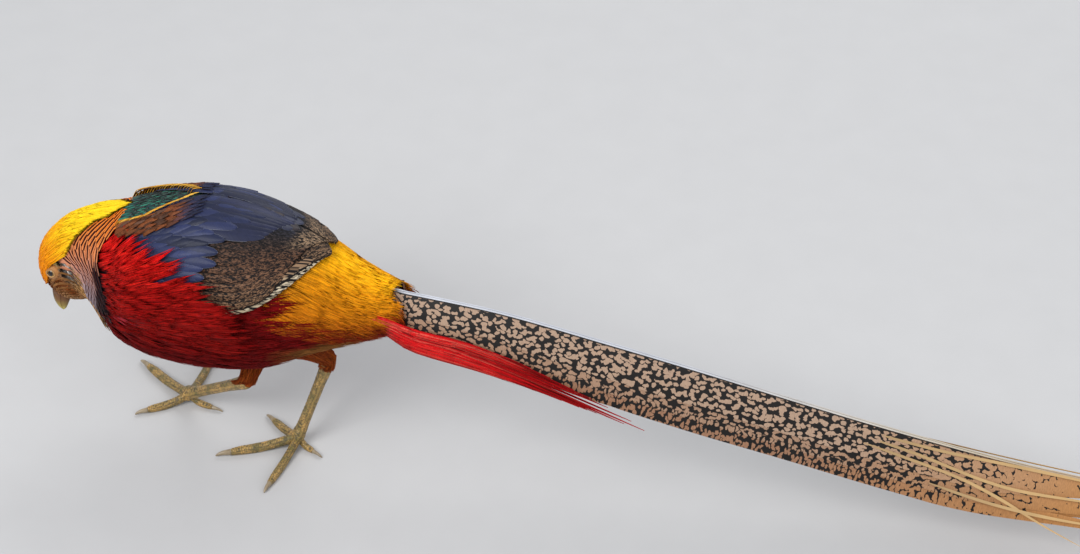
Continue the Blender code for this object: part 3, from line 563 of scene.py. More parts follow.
def goldFront(away):
    # Station where the golden rump begins
    return np.interp(away, (0, 55, 76, 82, 89, 102, 118, 146, 180),
                     (11.2, 10.8, 10.2, 9.95, 10.5, 11.15, 11.8, 12.6, 14))


def regionTint(s, theta):
    # Markings of the whole bird as a colour for each place of the skin
    away = np.abs(theta)
    tint = blend((away - 40) / 110, "#c4100e", "#9a0909", "#820708", "#5e0507")
    gold = blend((away - 5) / 115, "#ffb912", "#eaa012", "#cf7a12", "#b0480e")
    tan = blend((away - 70) / 70, "#b8824f", "#ad7848", "#8a5a34")
    orange = blend((away - 20) / 100, "#d8782a", "#d88848", "#c8917f", "#b8a8b4")
    for colour, weight in (("#6b3214", (s > 6.9) & (s < 9.0) & (away < 32)),
                           ("#262a3c", (s >= 9.0) & (s < 11.6) & (away < 60)),
                           (orange, (capeRear(away) - 0.1 - s) / 0.15 * (away < 106)),
                           (tan, (capeFront(away) - s) / 0.2 * (away > 50)),
                           (blend(s / 7.0, *crestColours),
                            (crestEnd(away) - s) / 0.2 * (away < crestSide(s))),
                           ("#0c3a30", (s > 6.9) & (away < mantleEdge(s))),
                           (gold, (s - goldFront(away)) / 0.3)):
        tint = over(tint, weight, colour)
    return tint


def makeSkinMaterial():
    # Bird skin seen only between feathers: the region's colour, darker, with a fine pebble
    made, tree = newMaterial("feathered skin", 0.8, 0.1)
    pebble = addNode(tree, "TexNoise",
                     {"Vector": addNode(tree, "TexCoord", {}, "Object"), "Scale": 900.0, "Detail": 3.0})
    tint = addNode(tree, "Attribute", {"attribute_name": "tint"}, "Color")
    shade = addNode(tree, "MapRange", {"Value": pebble, "To Min": 0.75})
    colour = addNode(tree, "VectorMath", {"operation": "SCALE", 0: tint, "Scale": shade})
    paint(tree, colour, pebble, 0.4, 0.0004)
    return made


def makeScaleMaterial():
    # Horny scales of the shank and toes: olive yellow, darker in the joints, waxy
    made, tree = newMaterial("horny leg scales", 0.42, 0.5, 0.1)
    plates = addNode(tree, "VectorMath",
                     {"operation": "MULTIPLY",
                      0: addNode(tree, "Attribute", {"attribute_name": "vane"}, "Vector"),
                      1: (5.0, 0.75, 1.0)})
    cells = addNode(tree, "TexVoronoi",
                    {"feature": "DISTANCE_TO_EDGE", "Vector": plates, "Scale": 1.0, "Randomness": 0.6})
    seam = addNode(tree, "MapRange", {"Value": cells, "From Max": 0.16})
    mottle = addNode(tree, "ValToRGB",
                     {0: addNode(tree, "TexNoise",
                                 {"Vector": addNode(tree, "TexCoord", {}, "Object"), "Scale": 160.0,
                                  "Detail": 4.0}), "stops": ((0.35, "#7b6e3a"), (0.68, "#cba05a"))})
    paint(tree, addNode(tree, "Mix", {"data_type": "RGBA", 0: seam, 6: "#453c24", 7: mottle}, 2), seam, 0.6,
          0.0004)
    return made


legs = {
    # places x, y and z in body mm; a root and the toes' tips lie on the floor
    "left": {"root": (45, -13), "hock": (68, 0, 74), "knee": (38, -22, 118),
             "toes": {"middle": (-9, -38), "outer": (35, -66), "inner": (14, 10), "hind": (65, -24)}},
    "right": {"root": (-45, 13), "hock": (9, -9, 49), "knee": (22, 22, 100),
              "toes": {"middle": (-94, 47), "outer": (-42, 66), "inner": (-79, -9), "hind": (-18, 7)}},
    "clawLength": {"middle": 11.0, "outer": 9.0, "inner": 9.5, "hind": 9.0},
    "toeRadius": {"middle": 3.2, "outer": 2.8, "inner": 2.8, "hind": 2.2},
    "ankle": 8.0, "footGap": 0.3,
    "shankAcross": (4.5, 5.4, 4.5, 4.1, 3.7, 3.9, 5.2, 4.2),
    "shankUp": (3.5, 4.9, 4.3, 3.9, 3.8, 4.0, 5.0, 4.0),
    "thighAt": (-0.04, 0.12, 0.35, 0.7, 0.96),  # parts of the way from hock to knee
    "thighAcross": (3.8, 4.6, 7.6, 12.4, 13.5), "thighUp": (3.8, 4.6, 7.4, 14.0, 17.0),
    # rows and columns of each tube, and the scutes' height and pitch in mm
    "shankGrid": (110, 28, 0.55, 3.4), "toeGrid": (60, 20, 0.35, 2.1), "thighGrid": (30, 28),
    "clawGrid": (24, 16),
    "scaleColour": "#cba156", "thighColour": "#9a4a16",
}


def toePath(root, tip, claw, radius):
    # Toe's middle line from the foot to the claw's base, and the claw's own line
    root, tip = np.array((*root, 0.0)), np.array((*tip, 0.0))
    run, length = tip - root, np.linalg.norm(tip - root)
    part = np.array((0.0, 0.3, 0.6, 0.85, 1.0)) * (length - claw) / length
    path = root + run * part[:, None]
    path[:, 2] = (7.0, 1.35 * radius, 0.76 * radius, 0.76 * radius, 0.7 * radius)
    part = 1 - claw / length * np.array((1 - 1.5 * legs["footGap"] / claw, 0.55, 0.2, 0))
    tail = root + run * part[:, None]
    tail[:, 2] = np.array((0.72, 0.82, 0.6, 0.25)) * radius
    return path, tail


def makeSkin():
    # Body: each station's ellipse, sunk by the coat's depth; legs: tubes with scutes; all one mesh
    s = np.linspace(0.06, 14.0, skin["rows"])
    theta = np.arange(skin["columns"]) * 360.0 / skin["columns"] - 180
    s, theta = np.meshgrid(s, theta, indexing="ij")
    flat, faces, place = closeGrid(bodyPoint(s, theta, -skinDepth(s, theta)), np.stack([s, theta, 0 * s], -1))
    parts = [(flat, faces)]
    s, theta = place[:, 0], place[:, 1]
    values = {"OFBake": [onMap(s, theta)], "tint": [regionTint(s, theta)], "vane": [place],
              "materialIndex": [0 * faces[:, 0]]}
    for number, name in enumerate(("left", "right")):
        leg = legs[name]
        places = (*leg["root"], legs["ankle"]), leg["hock"], leg["knee"]
        root, hock, knee = (np.array(v, float) for v in places)
        shank = unit(hock - root)
        line = [root - (0, 0, 3.5), root + (0, 0, 1), root + shank * 7, root + shank * 14,
                root + (hock - root) * 0.4, root + (hock - root) * 0.7, hock - shank * 3, hock + shank * 1.5]
        tubes = [tubeGrid(line, legs["shankAcross"], legs["shankUp"], *legs["shankGrid"])]
        for toe, tip in leg["toes"].items():
            radius = legs["toeRadius"][toe]
            swell = np.array((1.15, 1.0, 1.06, 0.96, 0.72)) * radius
            line = toePath(leg["root"], tip, legs["clawLength"][toe], radius)[0]
            tubes.append(tubeGrid(line, swell, swell * 1.05, *legs["toeGrid"]))
        thigh = [hock + (knee - hock) * part for part in legs["thighAt"]]
        tubes.append(tubeGrid(thigh, legs["thighAcross"], legs["thighUp"], *legs["thighGrid"]))
        for n, tube in enumerate(tubes):
            flat, faces, place = closeGrid(*tube)
            feathered = tube is tubes[-1]
            parts.append((flat, faces))
            home = (0.02 + 0.12 * n, 0.004 + 0.012 * number)
            values["OFBake"].append(home + np.stack([place[:, 1] / 900, place[:, 0] % 2 / 200], -1))
            tint = linear(legs["thighColour" if feathered else "scaleColour"])
            values["tint"].append(np.broadcast_to(tint, flat.shape))
            values["vane"].append(place)
            values["materialIndex"].append(0 * faces[:, 0] + (0 if feathered else 1))
    values = {key: np.concatenate(value) for key, value in values.items()}
    piece = buildMesh("skin", *joined(parts), [makeSkinMaterial(), makeScaleMaterial()], "body_feathers",
                      values)
    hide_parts("head", "neck", "torso", "rump")
    for name in ("left", "right"):
        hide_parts("thigh_" + name, "tarsus_" + name, "foot_" + name)


makeSkin()
print("skin made")


silk = featherMaterial("silky golden plumes", 0.55, 0.1, 0.2, 0.8)
hair = featherMaterial("hair-like scarlet plumes", 0.6, 0.08, 0.3, 0.8)
down = featherMaterial("short face feathers", 0.7, 0.08, 0.3, 0.6)
greenVane = featherMaterial("glossed green mantle feathers", 0.36, 0.3, 0.3, 0.8, (0.1, 0.4, "#050807"), 0.1)
chestnutVane = featherMaterial("chestnut scapular feathers", 0.6, 0.12, 0.4, 0.8, (0.7, 0.95, "#2c140a"))
blueVane = featherMaterial("steel blue wing feathers", 0.45, 0.2, 0.22, 0.7, (0.9, 0.99, "#7c7f88"), 0.05)


crest = {"count": 24600, "at": (0, 0.25, 0.5, 0.75, 0.94, 1.0), "halfWidth": 0.6,
         "taper": (0.7, 1, 1, 1, 0.9, 0.015), "thick": 0.2, "orange": "#e48406"}


def makeCrest():
    # Silky strands rooted all over the crown, combed back to an edge that runs from eye to nape;
    # those rooted nearer the bill lie on top, and the mass stands higher over the nape
    s, theta = scatter(crest["count"], (0.3, 4.7), (-66, 66),
                       lambda s, t: (np.abs(t) < crestSide(s)) * np.interp(s, (0, 3, 4.7), (0.7, 0.8, 1)))
    count = len(s)
    beside = theta / crestSide(s)
    full = crestEnd(np.abs(beside) * 58) - s
    reach = np.minimum(full, draw.uniform(2.0, 3.8, count) + 0.6 * s) * draw.uniform(0.94, 1.03, count)
    part = np.array(crest["at"])
    sPath = s[:, None] + reach[:, None] * part
    tPath = beside[:, None] * crestSide(np.minimum(sPath, 4.6)) + draw.normal(0, 0.8, (count, 1)) * part
    layer = 0.15 + draw.uniform(0, 1, (count, 1)) * 0.36 + 0.4 * (1 - s[:, None] / 4.3)
    top = np.interp(sPath, (0.3, 1.0, 2.5, 4.0, 4.6, 5.6, 7.1), (0.6, 2.2, 3.0, 3.4, 4.0, 4.0, 3.6))
    h = -2.6 + between(part, 0, 0.2) * (1.4 + (top + 1.0) * layer) - 1.0 * part**3 * layer
    onCape = between(sPath - capeFront(np.abs(tPath)), -0.2, 0.05)
    h = np.maximum(h, onCape * (0.75 + 0.7 * layer + 0.6 * (s[:, None] < 4)) - 9 * (1 - onCape))
    path, outward = onBody(sPath, tPath, h)
    tint = blend(sPath / 7.0 + 0.05 * draw.normal(0, 1, (count, 1)), *crestColours)
    low = between(np.abs(tPath), 12, 46) * np.clip((4.8 - sPath) / 1.8, 0.3, 1)
    half = crest["halfWidth"] * np.array(crest["taper"])
    growFeathers("crest", path, outward, half, crest["thick"], 2, over(tint, 0.7 * low, crest["orange"]),
                 onMap(s, theta), silk, "crest_feathers", part=part)


cape = {"rows": 11, "perRow": 22, "length": 16.0, "nodes": 8, "spread": 105,
        "taper": (0.5, 0.8, 0.95, 1, 1, 1, 1.0, 0.96),
        "colours": ("#ee8228", "#ea883c", "#e08c58", "#c88a74", "#a88c8c", "#948a98"), "dark": "#0c0b14"}


def makeCapeMaterial():
    # Cape feather: orange, with a dark bar just before its square end, both paler towards the throat
    made, tree = newMaterial("barred cape feathers", 0.55, 0.12)
    vane = addNode(tree, "Attribute", {"attribute_name": "vane"}, "Vector")
    place = addNode(tree, "Attribute", {"attribute_name": "place"}, "Vector")
    along = addNode(tree, "SeparateXYZ", {0: place}, None)[1]
    jitter = addNode(tree, "MapRange",
                     {"Value": addNode(tree, "TexNoise", {"Vector": vane, "Scale": 0.9}), "To Min": -0.006,
                      "To Max": 0.006})
    bar = addNode(tree, "ValToRGB",
                  {0: addNode(tree, "Math", {"operation": "ADD", 0: along, 1: jitter}),
                   "stops": ((0.0, "#000000"), (0.838, "#000000"), (0.856, "#ffffff"), (0.945, "#ffffff"),
                             (0.958, "#000000"), (1.0, "#000000"))})
    grain = addNode(tree, "TexNoise", {"Vector": vane, "Scale": 2.2, "Detail": 3.0})
    barred = addNode(tree, "Mix",
                     {"data_type": "RGBA", 0: bar,
                      6: addNode(tree, "Attribute", {"attribute_name": "tint"}, "Color"), 7: "#3a0f08"}, 2)
    shade = addNode(tree, "MapRange", {"Value": grain, "To Min": 0.7, "To Max": 1.25})
    paint(tree, addNode(tree, "VectorMath", {"operation": "SCALE", 0: barred, "Scale": shade}), grain, 0.4)
    return made


def makeCape():
    # Broad square feathers in rows; each row's tips lie part way from the crest's edge to the cape's edge
    pieces = []
    wide = cape["spread"] / (cape["perRow"] - 1)
    for row in range(cape["rows"]):
        q = (row - 1) / (cape["rows"] - 2)
        theta = np.linspace(-cape["spread"], cape["spread"], cape["perRow"]) + (wide if row % 2 else 0)
        lineAt = lambda t: capeFront(np.abs(t)) + (capeRear(np.abs(t)) - capeFront(np.abs(t))) * q
        tip, bend = lineAt(theta), (lineAt(theta + 9) - lineAt(theta - 9)) / 18
        alongS, alongT, _ = bodyAxes(tip, theta)
        heading = np.arctan2(-bend * np.linalg.norm(alongS, axis=-1), np.linalg.norm(alongT, axis=-1))
        sBack, tBack = walk(tip, theta, -cape["length"], heading, cape["nodes"])
        h = -3.3 + 3.9 * np.linspace(0, 1, cape["nodes"]) ** 0.8 + 0.04 * row
        path, outward = onBody(sBack[:, ::-1], tBack[:, ::-1], h)
        pieces.append((path, outward, tip, theta, np.full(len(theta), q)))
    path, outward, s, theta, q = (np.concatenate([p[k] for p in pieces]) for k in range(5))
    away = np.abs(theta)
    pitch = np.linalg.norm(bodyPoint(s, theta + wide) - bodyPoint(s, theta - wide), axis=-1)
    half = 0.72 * pitch[:, None] * np.array(cape["taper"])
    tint = blend((away - 15) / 95 + draw.normal(0, 0.02, len(s)), *cape["colours"])
    dark = between(q - np.interp(away, (62, 80, 100), (0.85, 0.62, 0.42)), 0, 0.1) * between(away, 60, 70)
    growFeathers("cape", path, outward, half, 0.3, 7, over(tint, dark, cape["dark"]), onMap(s, theta),
                 makeCapeMaterial(), "cape_feathers", camber=0.4, square=0.35)


def vaneField(rows, sRange, limits, spacing, length, heading, heights):
    # Staggered rows of feathers along s: roots every spacing mm round the body between the limits of theta
    s, theta = [], []
    for row, place in enumerate(np.linspace(*sRange, rows)):
        low, high = limits(place)
        count = max(2, round((high - low) * np.linalg.norm(bodyAxes(place, (low + high) / 2)[1]) / spacing))
        t = np.linspace(low, high, count) + (0.5 if row % 2 else 0) * (high - low) / count
        s.append(np.full(count, place) + draw.normal(0, 0.02, count))
        theta.append(t + draw.normal(0, 0.4, count))
    s, theta = np.concatenate(s), np.concatenate(theta)
    steps = 8
    sWalk, tWalk = walk(s, theta, length, heading * theta, steps + 1)
    low = np.clip((vanePart * steps).astype(int), 0, steps - 1)
    u = vanePart * steps - low
    sPath, tPath = (way[:, low] * (1 - u) + way[:, low + 1] * u for way in (sWalk, tWalk))
    rise = np.interp(vanePart, np.linspace(0, 1, len(heights)), heights)
    path, outward = onBody(sPath, tPath, rise + draw.uniform(-0.2, 0.2, (len(s), 1)))
    return s, theta, path, outward


mantle = {"colours": ("#081e18", "#0c3a2e", "#22745e", "#0a2e36"),
          "border": ("#c88a22", "#e0b048", "#9a6418"),
          "scapulars": ("#64341c", "#7a4626", "#402618", "#5e4234"), "scapularsRear": "#262a40"}


def anyOf(count, colours):
    # A colour for each feather, drawn from the row of colours
    return blend(draw.uniform(0, 1, count), *colours)


def makeMantle():
    # Narrow green feathers with black edges on the upper back, closing to a point between the wings, with a
    # golden border, and rusty then blue-black feathers behind it that fill the back between the wings.
    # A turn is the part of its own theta by which a feather leans back to the ridge
    turn = math.radians(-0.15)
    inside = lambda s: (1 - mantleEdge(s + 0.45), mantleEdge(s + 0.45) - 1)
    s, theta, path, outward = vaneField(18, (6.6, 8.35), inside, 2.5, 19.0, turn, (-2.6, -0.2, 1.2, 1.8))
    growFeathers("mantle", path, outward, 1.7 * roundEnd(vanePart, 0.55), 0.3, 5,
                 anyOf(len(s), mantle["colours"]), onMap(s, theta), greenVane, "body_feathers", camber=0.5,
                 part=vanePart)
    for side, name in bothSides:
        s = np.linspace(6.95, 8.5, 22)
        theta = side * (mantleEdge(s + 0.35) + 1.0)
        sPath, tPath = walk(s, theta, 10.0, np.radians(-side * 11.0), 10)
        path, outward = onBody(sPath, tPath, np.interp(vanePart, (0, 0.5, 1), (1.0, 5.0, 6.0)))
        growFeathers("mantleBorder" + name, path, outward, 0.8 * roundEnd(vanePart, 0.55), 0.3, 5,
                     anyOf(len(s), mantle["border"]), onMap(s, theta), silk, "body_feathers", camber=0.4)
    back = lambda s: (-np.interp(s, (8.2, 8.6, 9.2), (8, 12, 16)), np.interp(s, (8.2, 8.6, 9.2), (8, 12, 16)))
    lowerBack = lambda s: (-11, 11)
    for name, rows, sRange, limits, spacing, length, lean, heights, width, end, camber, material, colours in (
            ("backFeathers", 6, (8.7, 9.4), back, 5.0, 20.0, turn, (-1.5, 1.6, 2.8, 3.4), 3.2, 0.6, 0.7,
             chestnutVane, ("#3a2a24", "#2c2c3a", "#262a3e", "#2e3246")),
            ("lowerBackFeathers", 6, (9.4, 10.0), lowerBack, 6.0, 26.0, 2 * turn, (-1.5, 1.8, 3.2, 3.8), 5.0,
             0.65, 0.8, blueVane, ("#282c40", "#20243a", "#303448", "#342c2c"))):
        s, theta, path, outward = vaneField(rows, sRange, limits, spacing, length, lean, heights)
        growFeathers(name, path, outward, width * roundEnd(vanePart, end), 0.35, 7, anyOf(len(s), colours),
                     onMap(s, theta), material, "body_feathers", camber=camber, part=vanePart)


def makeScapulars():
    # Rusty chestnut feathers over the shoulder, between the mantle's border and the blue of the wing
    depth = lambda s: np.interp(s, (6.9, 7.6, 8.6), (9, 13, 18))
    limits = lambda s: (mantleEdge(s + 0.2) + 2, mantleEdge(s + 0.2) + depth(s))
    for side, name in bothSides:
        s, theta, _, _ = vaneField(15, (6.9, 8.6), limits, 2.6, 15.0, 0, (0, 1))
        theta = theta * side
        sPath, tPath = walk(s, theta, 14.0, np.radians(-side * 16.0), 10)
        rise = np.interp(vanePart, (0, 0.4, 0.75, 1), (-0.6, 3.4, 4.8, 5.2))
        path, outward = onBody(sPath, tPath, rise + draw.uniform(-0.2, 0.2, (len(s), 1)))
        tint = over(anyOf(len(s), mantle["scapulars"]), between(s, 8.2, 8.5), mantle["scapularsRear"])
        growFeathers("scapulars" + name, path, outward, 1.9 * roundEnd(vanePart, 0.55), 0.35, 7, tint,
                     onMap(s, theta), chestnutVane, "body_feathers", camber=0.6)


makeCrest()
makeCape()
makeMantle()
makeScapulars()


def eyeAxes(side):
    # Centre of the eye, its outward axis and two directions across it, the second one upwards
    s, theta = bodyShape["eyeS"], side * bodyShape["eyeTheta"]
    centre = bodyPoint(s, theta, -bodyShape["eyeDepth"])
    axis = unit(bodyPoint(s, theta, 1.0) - bodyPoint(s, theta, 0.0))
    across = unit(np.cross(axis, (0, 0, 1)))
    return centre, axis, across, np.cross(across, axis)


def fromAxes(centre, *steps):
    # The centre moved by each pair of an amount and the axis that it goes along
    return centre + sum(amount[..., None] * axis for amount, axis in steps)


def faceOut(faces, across, up, axis):
    # Faces turned round where across, up and axis are a left-handed set
    return faces[:, ::-1] if np.dot(np.cross(across, up), axis) < 0 else faces


def makeEyeMaterial():
    # Wet eyeball: black pupil, pale straw iris with fine spokes, dark rim; smooth and glossy
    made, tree = newMaterial("wet eye", 0.06, 0.45, 0.3)
    place = addNode(tree, "Attribute", {"attribute_name": "place"}, "Vector")
    wobble = addNode(tree, "Math",
                     {"operation": "MULTIPLY_ADD",
                      0: addNode(tree, "TexNoise", {"Vector": place, "Scale": 14.0}), 1: 0.05, 2: -0.025})
    out = addNode(tree, "Math",
                  {"operation": "ADD", 0: addNode(tree, "SeparateXYZ", {0: place}, None)[0], 1: wobble})
    iris = addNode(tree, "ValToRGB",
                   {0: out,
                    "stops": ((0.0, (0.004, 0.004, 0.004)), (0.28, "#030202"), (0.31, "#7c5a2c"),
                              (0.38, "#b8904e"), (0.45, "#8a6230"), (0.52, "#24150b"), (1.0, "#2a1608"))})
    paint(tree, iris)
    return made


def makeEyes():
    # Ball with a slightly raised cornea: radius 4.1 + 0.35 * cos^6 of the angle from the axis
    material = makeEyeMaterial()
    rows, columns, pole = 28, 36, 0.004
    angles = np.linspace(pole, math.pi - pole, rows), np.arange(columns) * 2 * math.pi / columns
    polar, turn = np.meshgrid(*angles, indexing="ij")
    radius = bodyShape["eyeRadius"] - 0.3 + 0.35 * np.clip(np.cos(polar), 0, 1) ** 6
    for side, name in bothSides:
        centre, axis, across, up = eyeAxes(side)
        points = fromAxes(centre, (radius * np.cos(polar), axis),
                          (radius * np.sin(polar) * np.cos(turn), across),
                          (radius * np.sin(polar) * np.sin(turn), up))
        place = np.stack([polar / (math.pi / 2), np.cos(turn), np.sin(turn)], -1)
        flat, faces, place = closeGrid(points, place)
        place[-2] = (0, 0, 0)
        uv = 0.5 + 0.45 * place[:, :1] / 2 * place[:, 1:]
        eye = buildMesh("eye" + name, flat, faceOut(faces, across, up, axis), [material], "eyes",
                        {"place": place, "OFBake": uv})
        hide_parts("eye_" + name.lower())


lids = {
    # radius and height along the eye's axis, from the outer edge to the inner one
    "profile": ((6.5, -0.4), (5.5, 1.2), (4.7, 2.4), (4.05, 3.2), (3.45, 3.7), (3.0, 3.9), (2.68, 3.8),
                (2.58, 3.4), (3.2, 2.3)),
    "rows": 33, "columns": 48, "tall": 0.84, "fold": 0.09, "corner": 0.5,
}


def makeLids():
    # Soft rim of bare skin round the eye: a profile turned about the eye's axis, lower than it is wide,
    # with folds that run round it
    material, tree = newMaterial("wrinkled lid skin", 0.55, 0.4, sheen=0.1)
    wrinkle = addNode(tree, "TexNoise",
                      {"Vector": addNode(tree, "TexCoord", {}, "Object"), "Scale": 500.0, "Detail": 4.0})
    inward = addNode(tree, "Math",
                     {"operation": "MULTIPLY_ADD", 0: wrinkle, 1: 0.3,
                      2: addNode(tree, "SeparateXYZ",
                                 {0: addNode(tree, "Attribute", {"attribute_name": "place"}, "Vector")},
                                 None)[0]})
    folds = addNode(tree, "ValToRGB",
                    {0: inward,
                     "stops": ((0.1, "#a5652f"), (0.45, "#b98248"), (0.68, "#8f5c2e"), (0.84, "#c9a064"),
                               (1.0, "#4a2c18"))})
    paint(tree, folds, wrinkle, 0.5, 0.0004)
    rows, columns = lids["rows"], lids["columns"]
    profile = rowsAt(lids["profile"], np.linspace(0, len(lids["profile"]) - 1, rows))
    turn = np.arange(columns) * 2 * math.pi / columns
    inner = np.linspace(0, 1, rows)[:, None]
    fold = np.sin(inner * 46 + 1.5 * np.sin(turn * 2)) * np.interp(inner, (0, 0.2, 0.5, 0.62), (0, 1, 1, 0))
    radius = profile[:, :1] + lids["corner"] * between(np.abs(np.cos(turn)), 0.8, 1) * inner**2
    tall = 1 - (1 - lids["tall"]) * inner
    for side, name in bothSides:
        centre, axis, across, up = eyeAxes(side)
        points = fromAxes(centre, (radius * np.cos(turn), across), (radius * tall * np.sin(turn), up),
                          (profile[:, 1:] + lids["fold"] * fold, axis))
        place = np.stack(np.broadcast_arrays(inner, turn / 6.3, 0 * turn), -1)
        uv = np.stack([0.5 + radius / 20 * np.cos(turn), 0.5 + radius / 20 * np.sin(turn)], -1)
        buildMesh("lids" + name, points, faceOut(gridFaces(rows, columns, True), across, up, axis),
                  [material], "body_feathers", {"place": place, "OFBake": uv})


bill = {
    # ridge x, ridge z, chin x, chin z, shift y, half width, base to tip
    "rows": ((-126.1, 117.0, -114.4, 109.6, -9.5, 5.0), (-126.0, 111.0, -114.1, 106.5, -10.6, 4.5),
             (-125.0, 105.2, -115.4, 102.9, -11.8, 3.6), (-122.0, 100.6, -116.6, 100.0, -13.0, 2.4),
             (-118.8, 98.2, -117.6, 98.6, -14.0, 0.7)),
    "mouth": -0.15, "lowerEnd": 3.5, "gap": 0.3, "nostril": (0.9, 28.0), "steps": 60, "sides": 33,
}


def makeBillMaterial():
    # Horn: brown and olive streaks along the bill, yellower at its tip, polished by use
    made, tree = newMaterial("bill horn", 0.38, 0.4, 0.1)
    place = addNode(tree, "Attribute", {"attribute_name": "place"}, "Vector")
    _, long, high = addNode(tree, "SeparateXYZ", {0: place}, None)
    streak = addNode(tree, "TexNoise",
                     {"Vector": addNode(tree, "VectorMath",
                                        {"operation": "MULTIPLY", 0: place, 1: (9.0, 1.4, 1.0)}),
                      "Scale": 1.6, "Detail": 4.0})
    along = addNode(tree, "Math",
                    {"operation": "ADD", 0: long,
                     1: addNode(tree, "Math", {"operation": "MULTIPLY_ADD", 0: streak, 1: 0.4, 2: -0.2})})
    horn = addNode(tree, "ValToRGB",
                   {0: along,
                    "stops": ((0.0, "#5e3418"), (0.3, "#6e4a28"), (0.55, "#8f7a3e"), (0.78, "#b5a65c"),
                              (1.0, "#c8bc78"))})
    dark = addNode(tree, "MapRange", {"Value": high, "From Min": 0.55, "From Max": 0.98})
    colour = addNode(tree, "Mix", {"data_type": "RGBA", 0: dark, 6: horn, 7: "#3c3626"}, 2)
    paint(tree, colour, streak, 0.25)
    return made


def makeBill():
    # Each half is a D carried along the rows from mouth line to ridge or chin; the upper one has a nostril
    # pit under a low flap on each side
    material = makeBillMaterial()
    start = math.asin(bill["mouth"])
    spot, level = bill["nostril"]
    for upper, name in ((True, "Upper"), (False, "Lower")):
        at = np.linspace(0.0, len(bill["rows"]) - 1 if upper else bill["lowerEnd"], bill["steps"])
        rows = rowsAt(bill["rows"], at)
        ends = (start, math.pi - start) if upper else (math.pi - start, 2 * math.pi + start)
        turn = np.linspace(*ends, bill["sides"])
        ridge, chin = rows[:, (0, 4, 1)], rows[:, (2, 4, 3)]
        middle, up = (ridge + chin) / 2, (ridge - chin) / 2
        swell = np.ones((len(at), len(turn)))
        if upper:
            degrees = np.degrees(np.minimum(turn, math.pi - turn))
            pit = ((at[:, None] - spot) / 0.34) ** 2 + ((degrees - level) / 15) ** 2
            flap = ((at[:, None] - spot + 0.1) / 0.6) ** 2 + ((degrees - level - 16) / 16) ** 2
            swell = 1 - 0.17 * np.exp(-pit * 1.3) + 0.06 * np.exp(-flap)
        across = np.array((0.0, 1.0, 0.0)) * rows[:, 5:6]
        middle = middle + unit(up) * (bill["gap"] / 2 if upper else -bill["gap"] / 2)
        points = fromAxes(middle[:, None], (np.sin(turn) * swell, up[:, None]),
                          (np.cos(turn) * swell, across[:, None]))
        high = np.sin(turn) if upper else 0 * turn
        place = np.stack(np.broadcast_arrays(turn / math.pi, (at / 4)[:, None], high), -1)
        flat, faces, place = closeGrid(points, place)
        uv = np.stack([place[:, 1] * 0.9 + 0.05, (place[:, 0] % 2) * 0.45 + 0.05], -1)
        piece = buildMesh("bill" + name, flat, faces, [material], "bill", {"place": place, "OFBake": uv},
                          sharp=60)
        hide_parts("bill_" + name.lower())


face = {
    "count": 34500, "nodes": 4, "taper": (0.9, 1.0, 0.7, 0.015), "thick": 0.3,
    # markings laid one over another: station, degrees from the ridge, size in each, colour
    "markings": ((1.0, 50, 1.0, 34, "#8c4a1e"), (2.7, 90, 0.9, 14, "#7c4018"), (3.4, 112, 0.8, 16, "#8c4c22"),
                 (3.9, 61, 0.6, 6, "#efd27a"), (4.9, 103, 0.7, 22, "#c4935c"), (4.4, 80, 0.55, 20, "#5e5a56"),
                 (3.95, 78, 0.17, 22, "#1c1614"), (4.75, 84, 0.12, 14, "#2a211c"),
                 (4.55, 74, 0.13, 13, "#e6e2da"), (4.95, 64, 0.24, 6, "#fff0d8")),
}


def makeFace():
    # Short tufts over cheeks, lores and throat, 3 to 6 mm long, laid back from the bill and round the eye
    def density(s, theta):
        away = np.abs(theta)
        eye = np.hypot((s - bodyShape["eyeS"]) * 8.5, (away - bodyShape["eyeTheta"]) * 0.45)
        shown = (away > crestSide(s) - 3) & (eye > 4.7) & (s < capeFront(away) + 0.15)
        return shown * np.interp(s, (0, 2, 6), (1, 0.8, 0.5))
    s, theta = scatter(face["count"], (0.1, 6.2), (-180, 180), density)
    count = len(s)
    length = np.interp(s, (0, 1, 3, 5, 6), (2.2, 3.2, 4.6, 6.5, 9.0)) * draw.uniform(0.8, 1.2, count)
    lean = np.sign(theta) * np.radians(np.interp(np.abs(theta), (30, 90, 180), (10, 18, 0)))
    sPath, tPath = walk(s, theta, length, lean + draw.normal(0, 0.1, count), face["nodes"])
    rise = np.clip(np.linspace(0, 1, face["nodes"]) * 1.3, 0, 1) * (1.7 + draw.uniform(0, 0.4, (count, 1)))
    path, outward = onBody(sPath, tPath, rise - 1.9)
    markS, away = sPath[:, 2], np.abs(tPath[:, 2])
    tint = blend((away - 60) / 90, "#cda276", "#c4966a", "#a0744c")
    for station, degrees, along, around, code in face["markings"]:
        near = np.exp(-((markS - station) / along) ** 2 - ((away - degrees) / around) ** 2)
        tint = over(tint, 1.4 * near, code)
    tint = tint * draw.uniform(0.85, 1.2, (count, 1))
    half = np.interp(s, (0, 6), (0.42, 0.65))[:, None] * np.array(face["taper"])
    growFeathers("faceFeathers", path, outward, half, face["thick"], 2, tint, onMap(s, theta), down,
                 "body_feathers")


makeEyes()
makeLids()
makeBill()
makeFace()


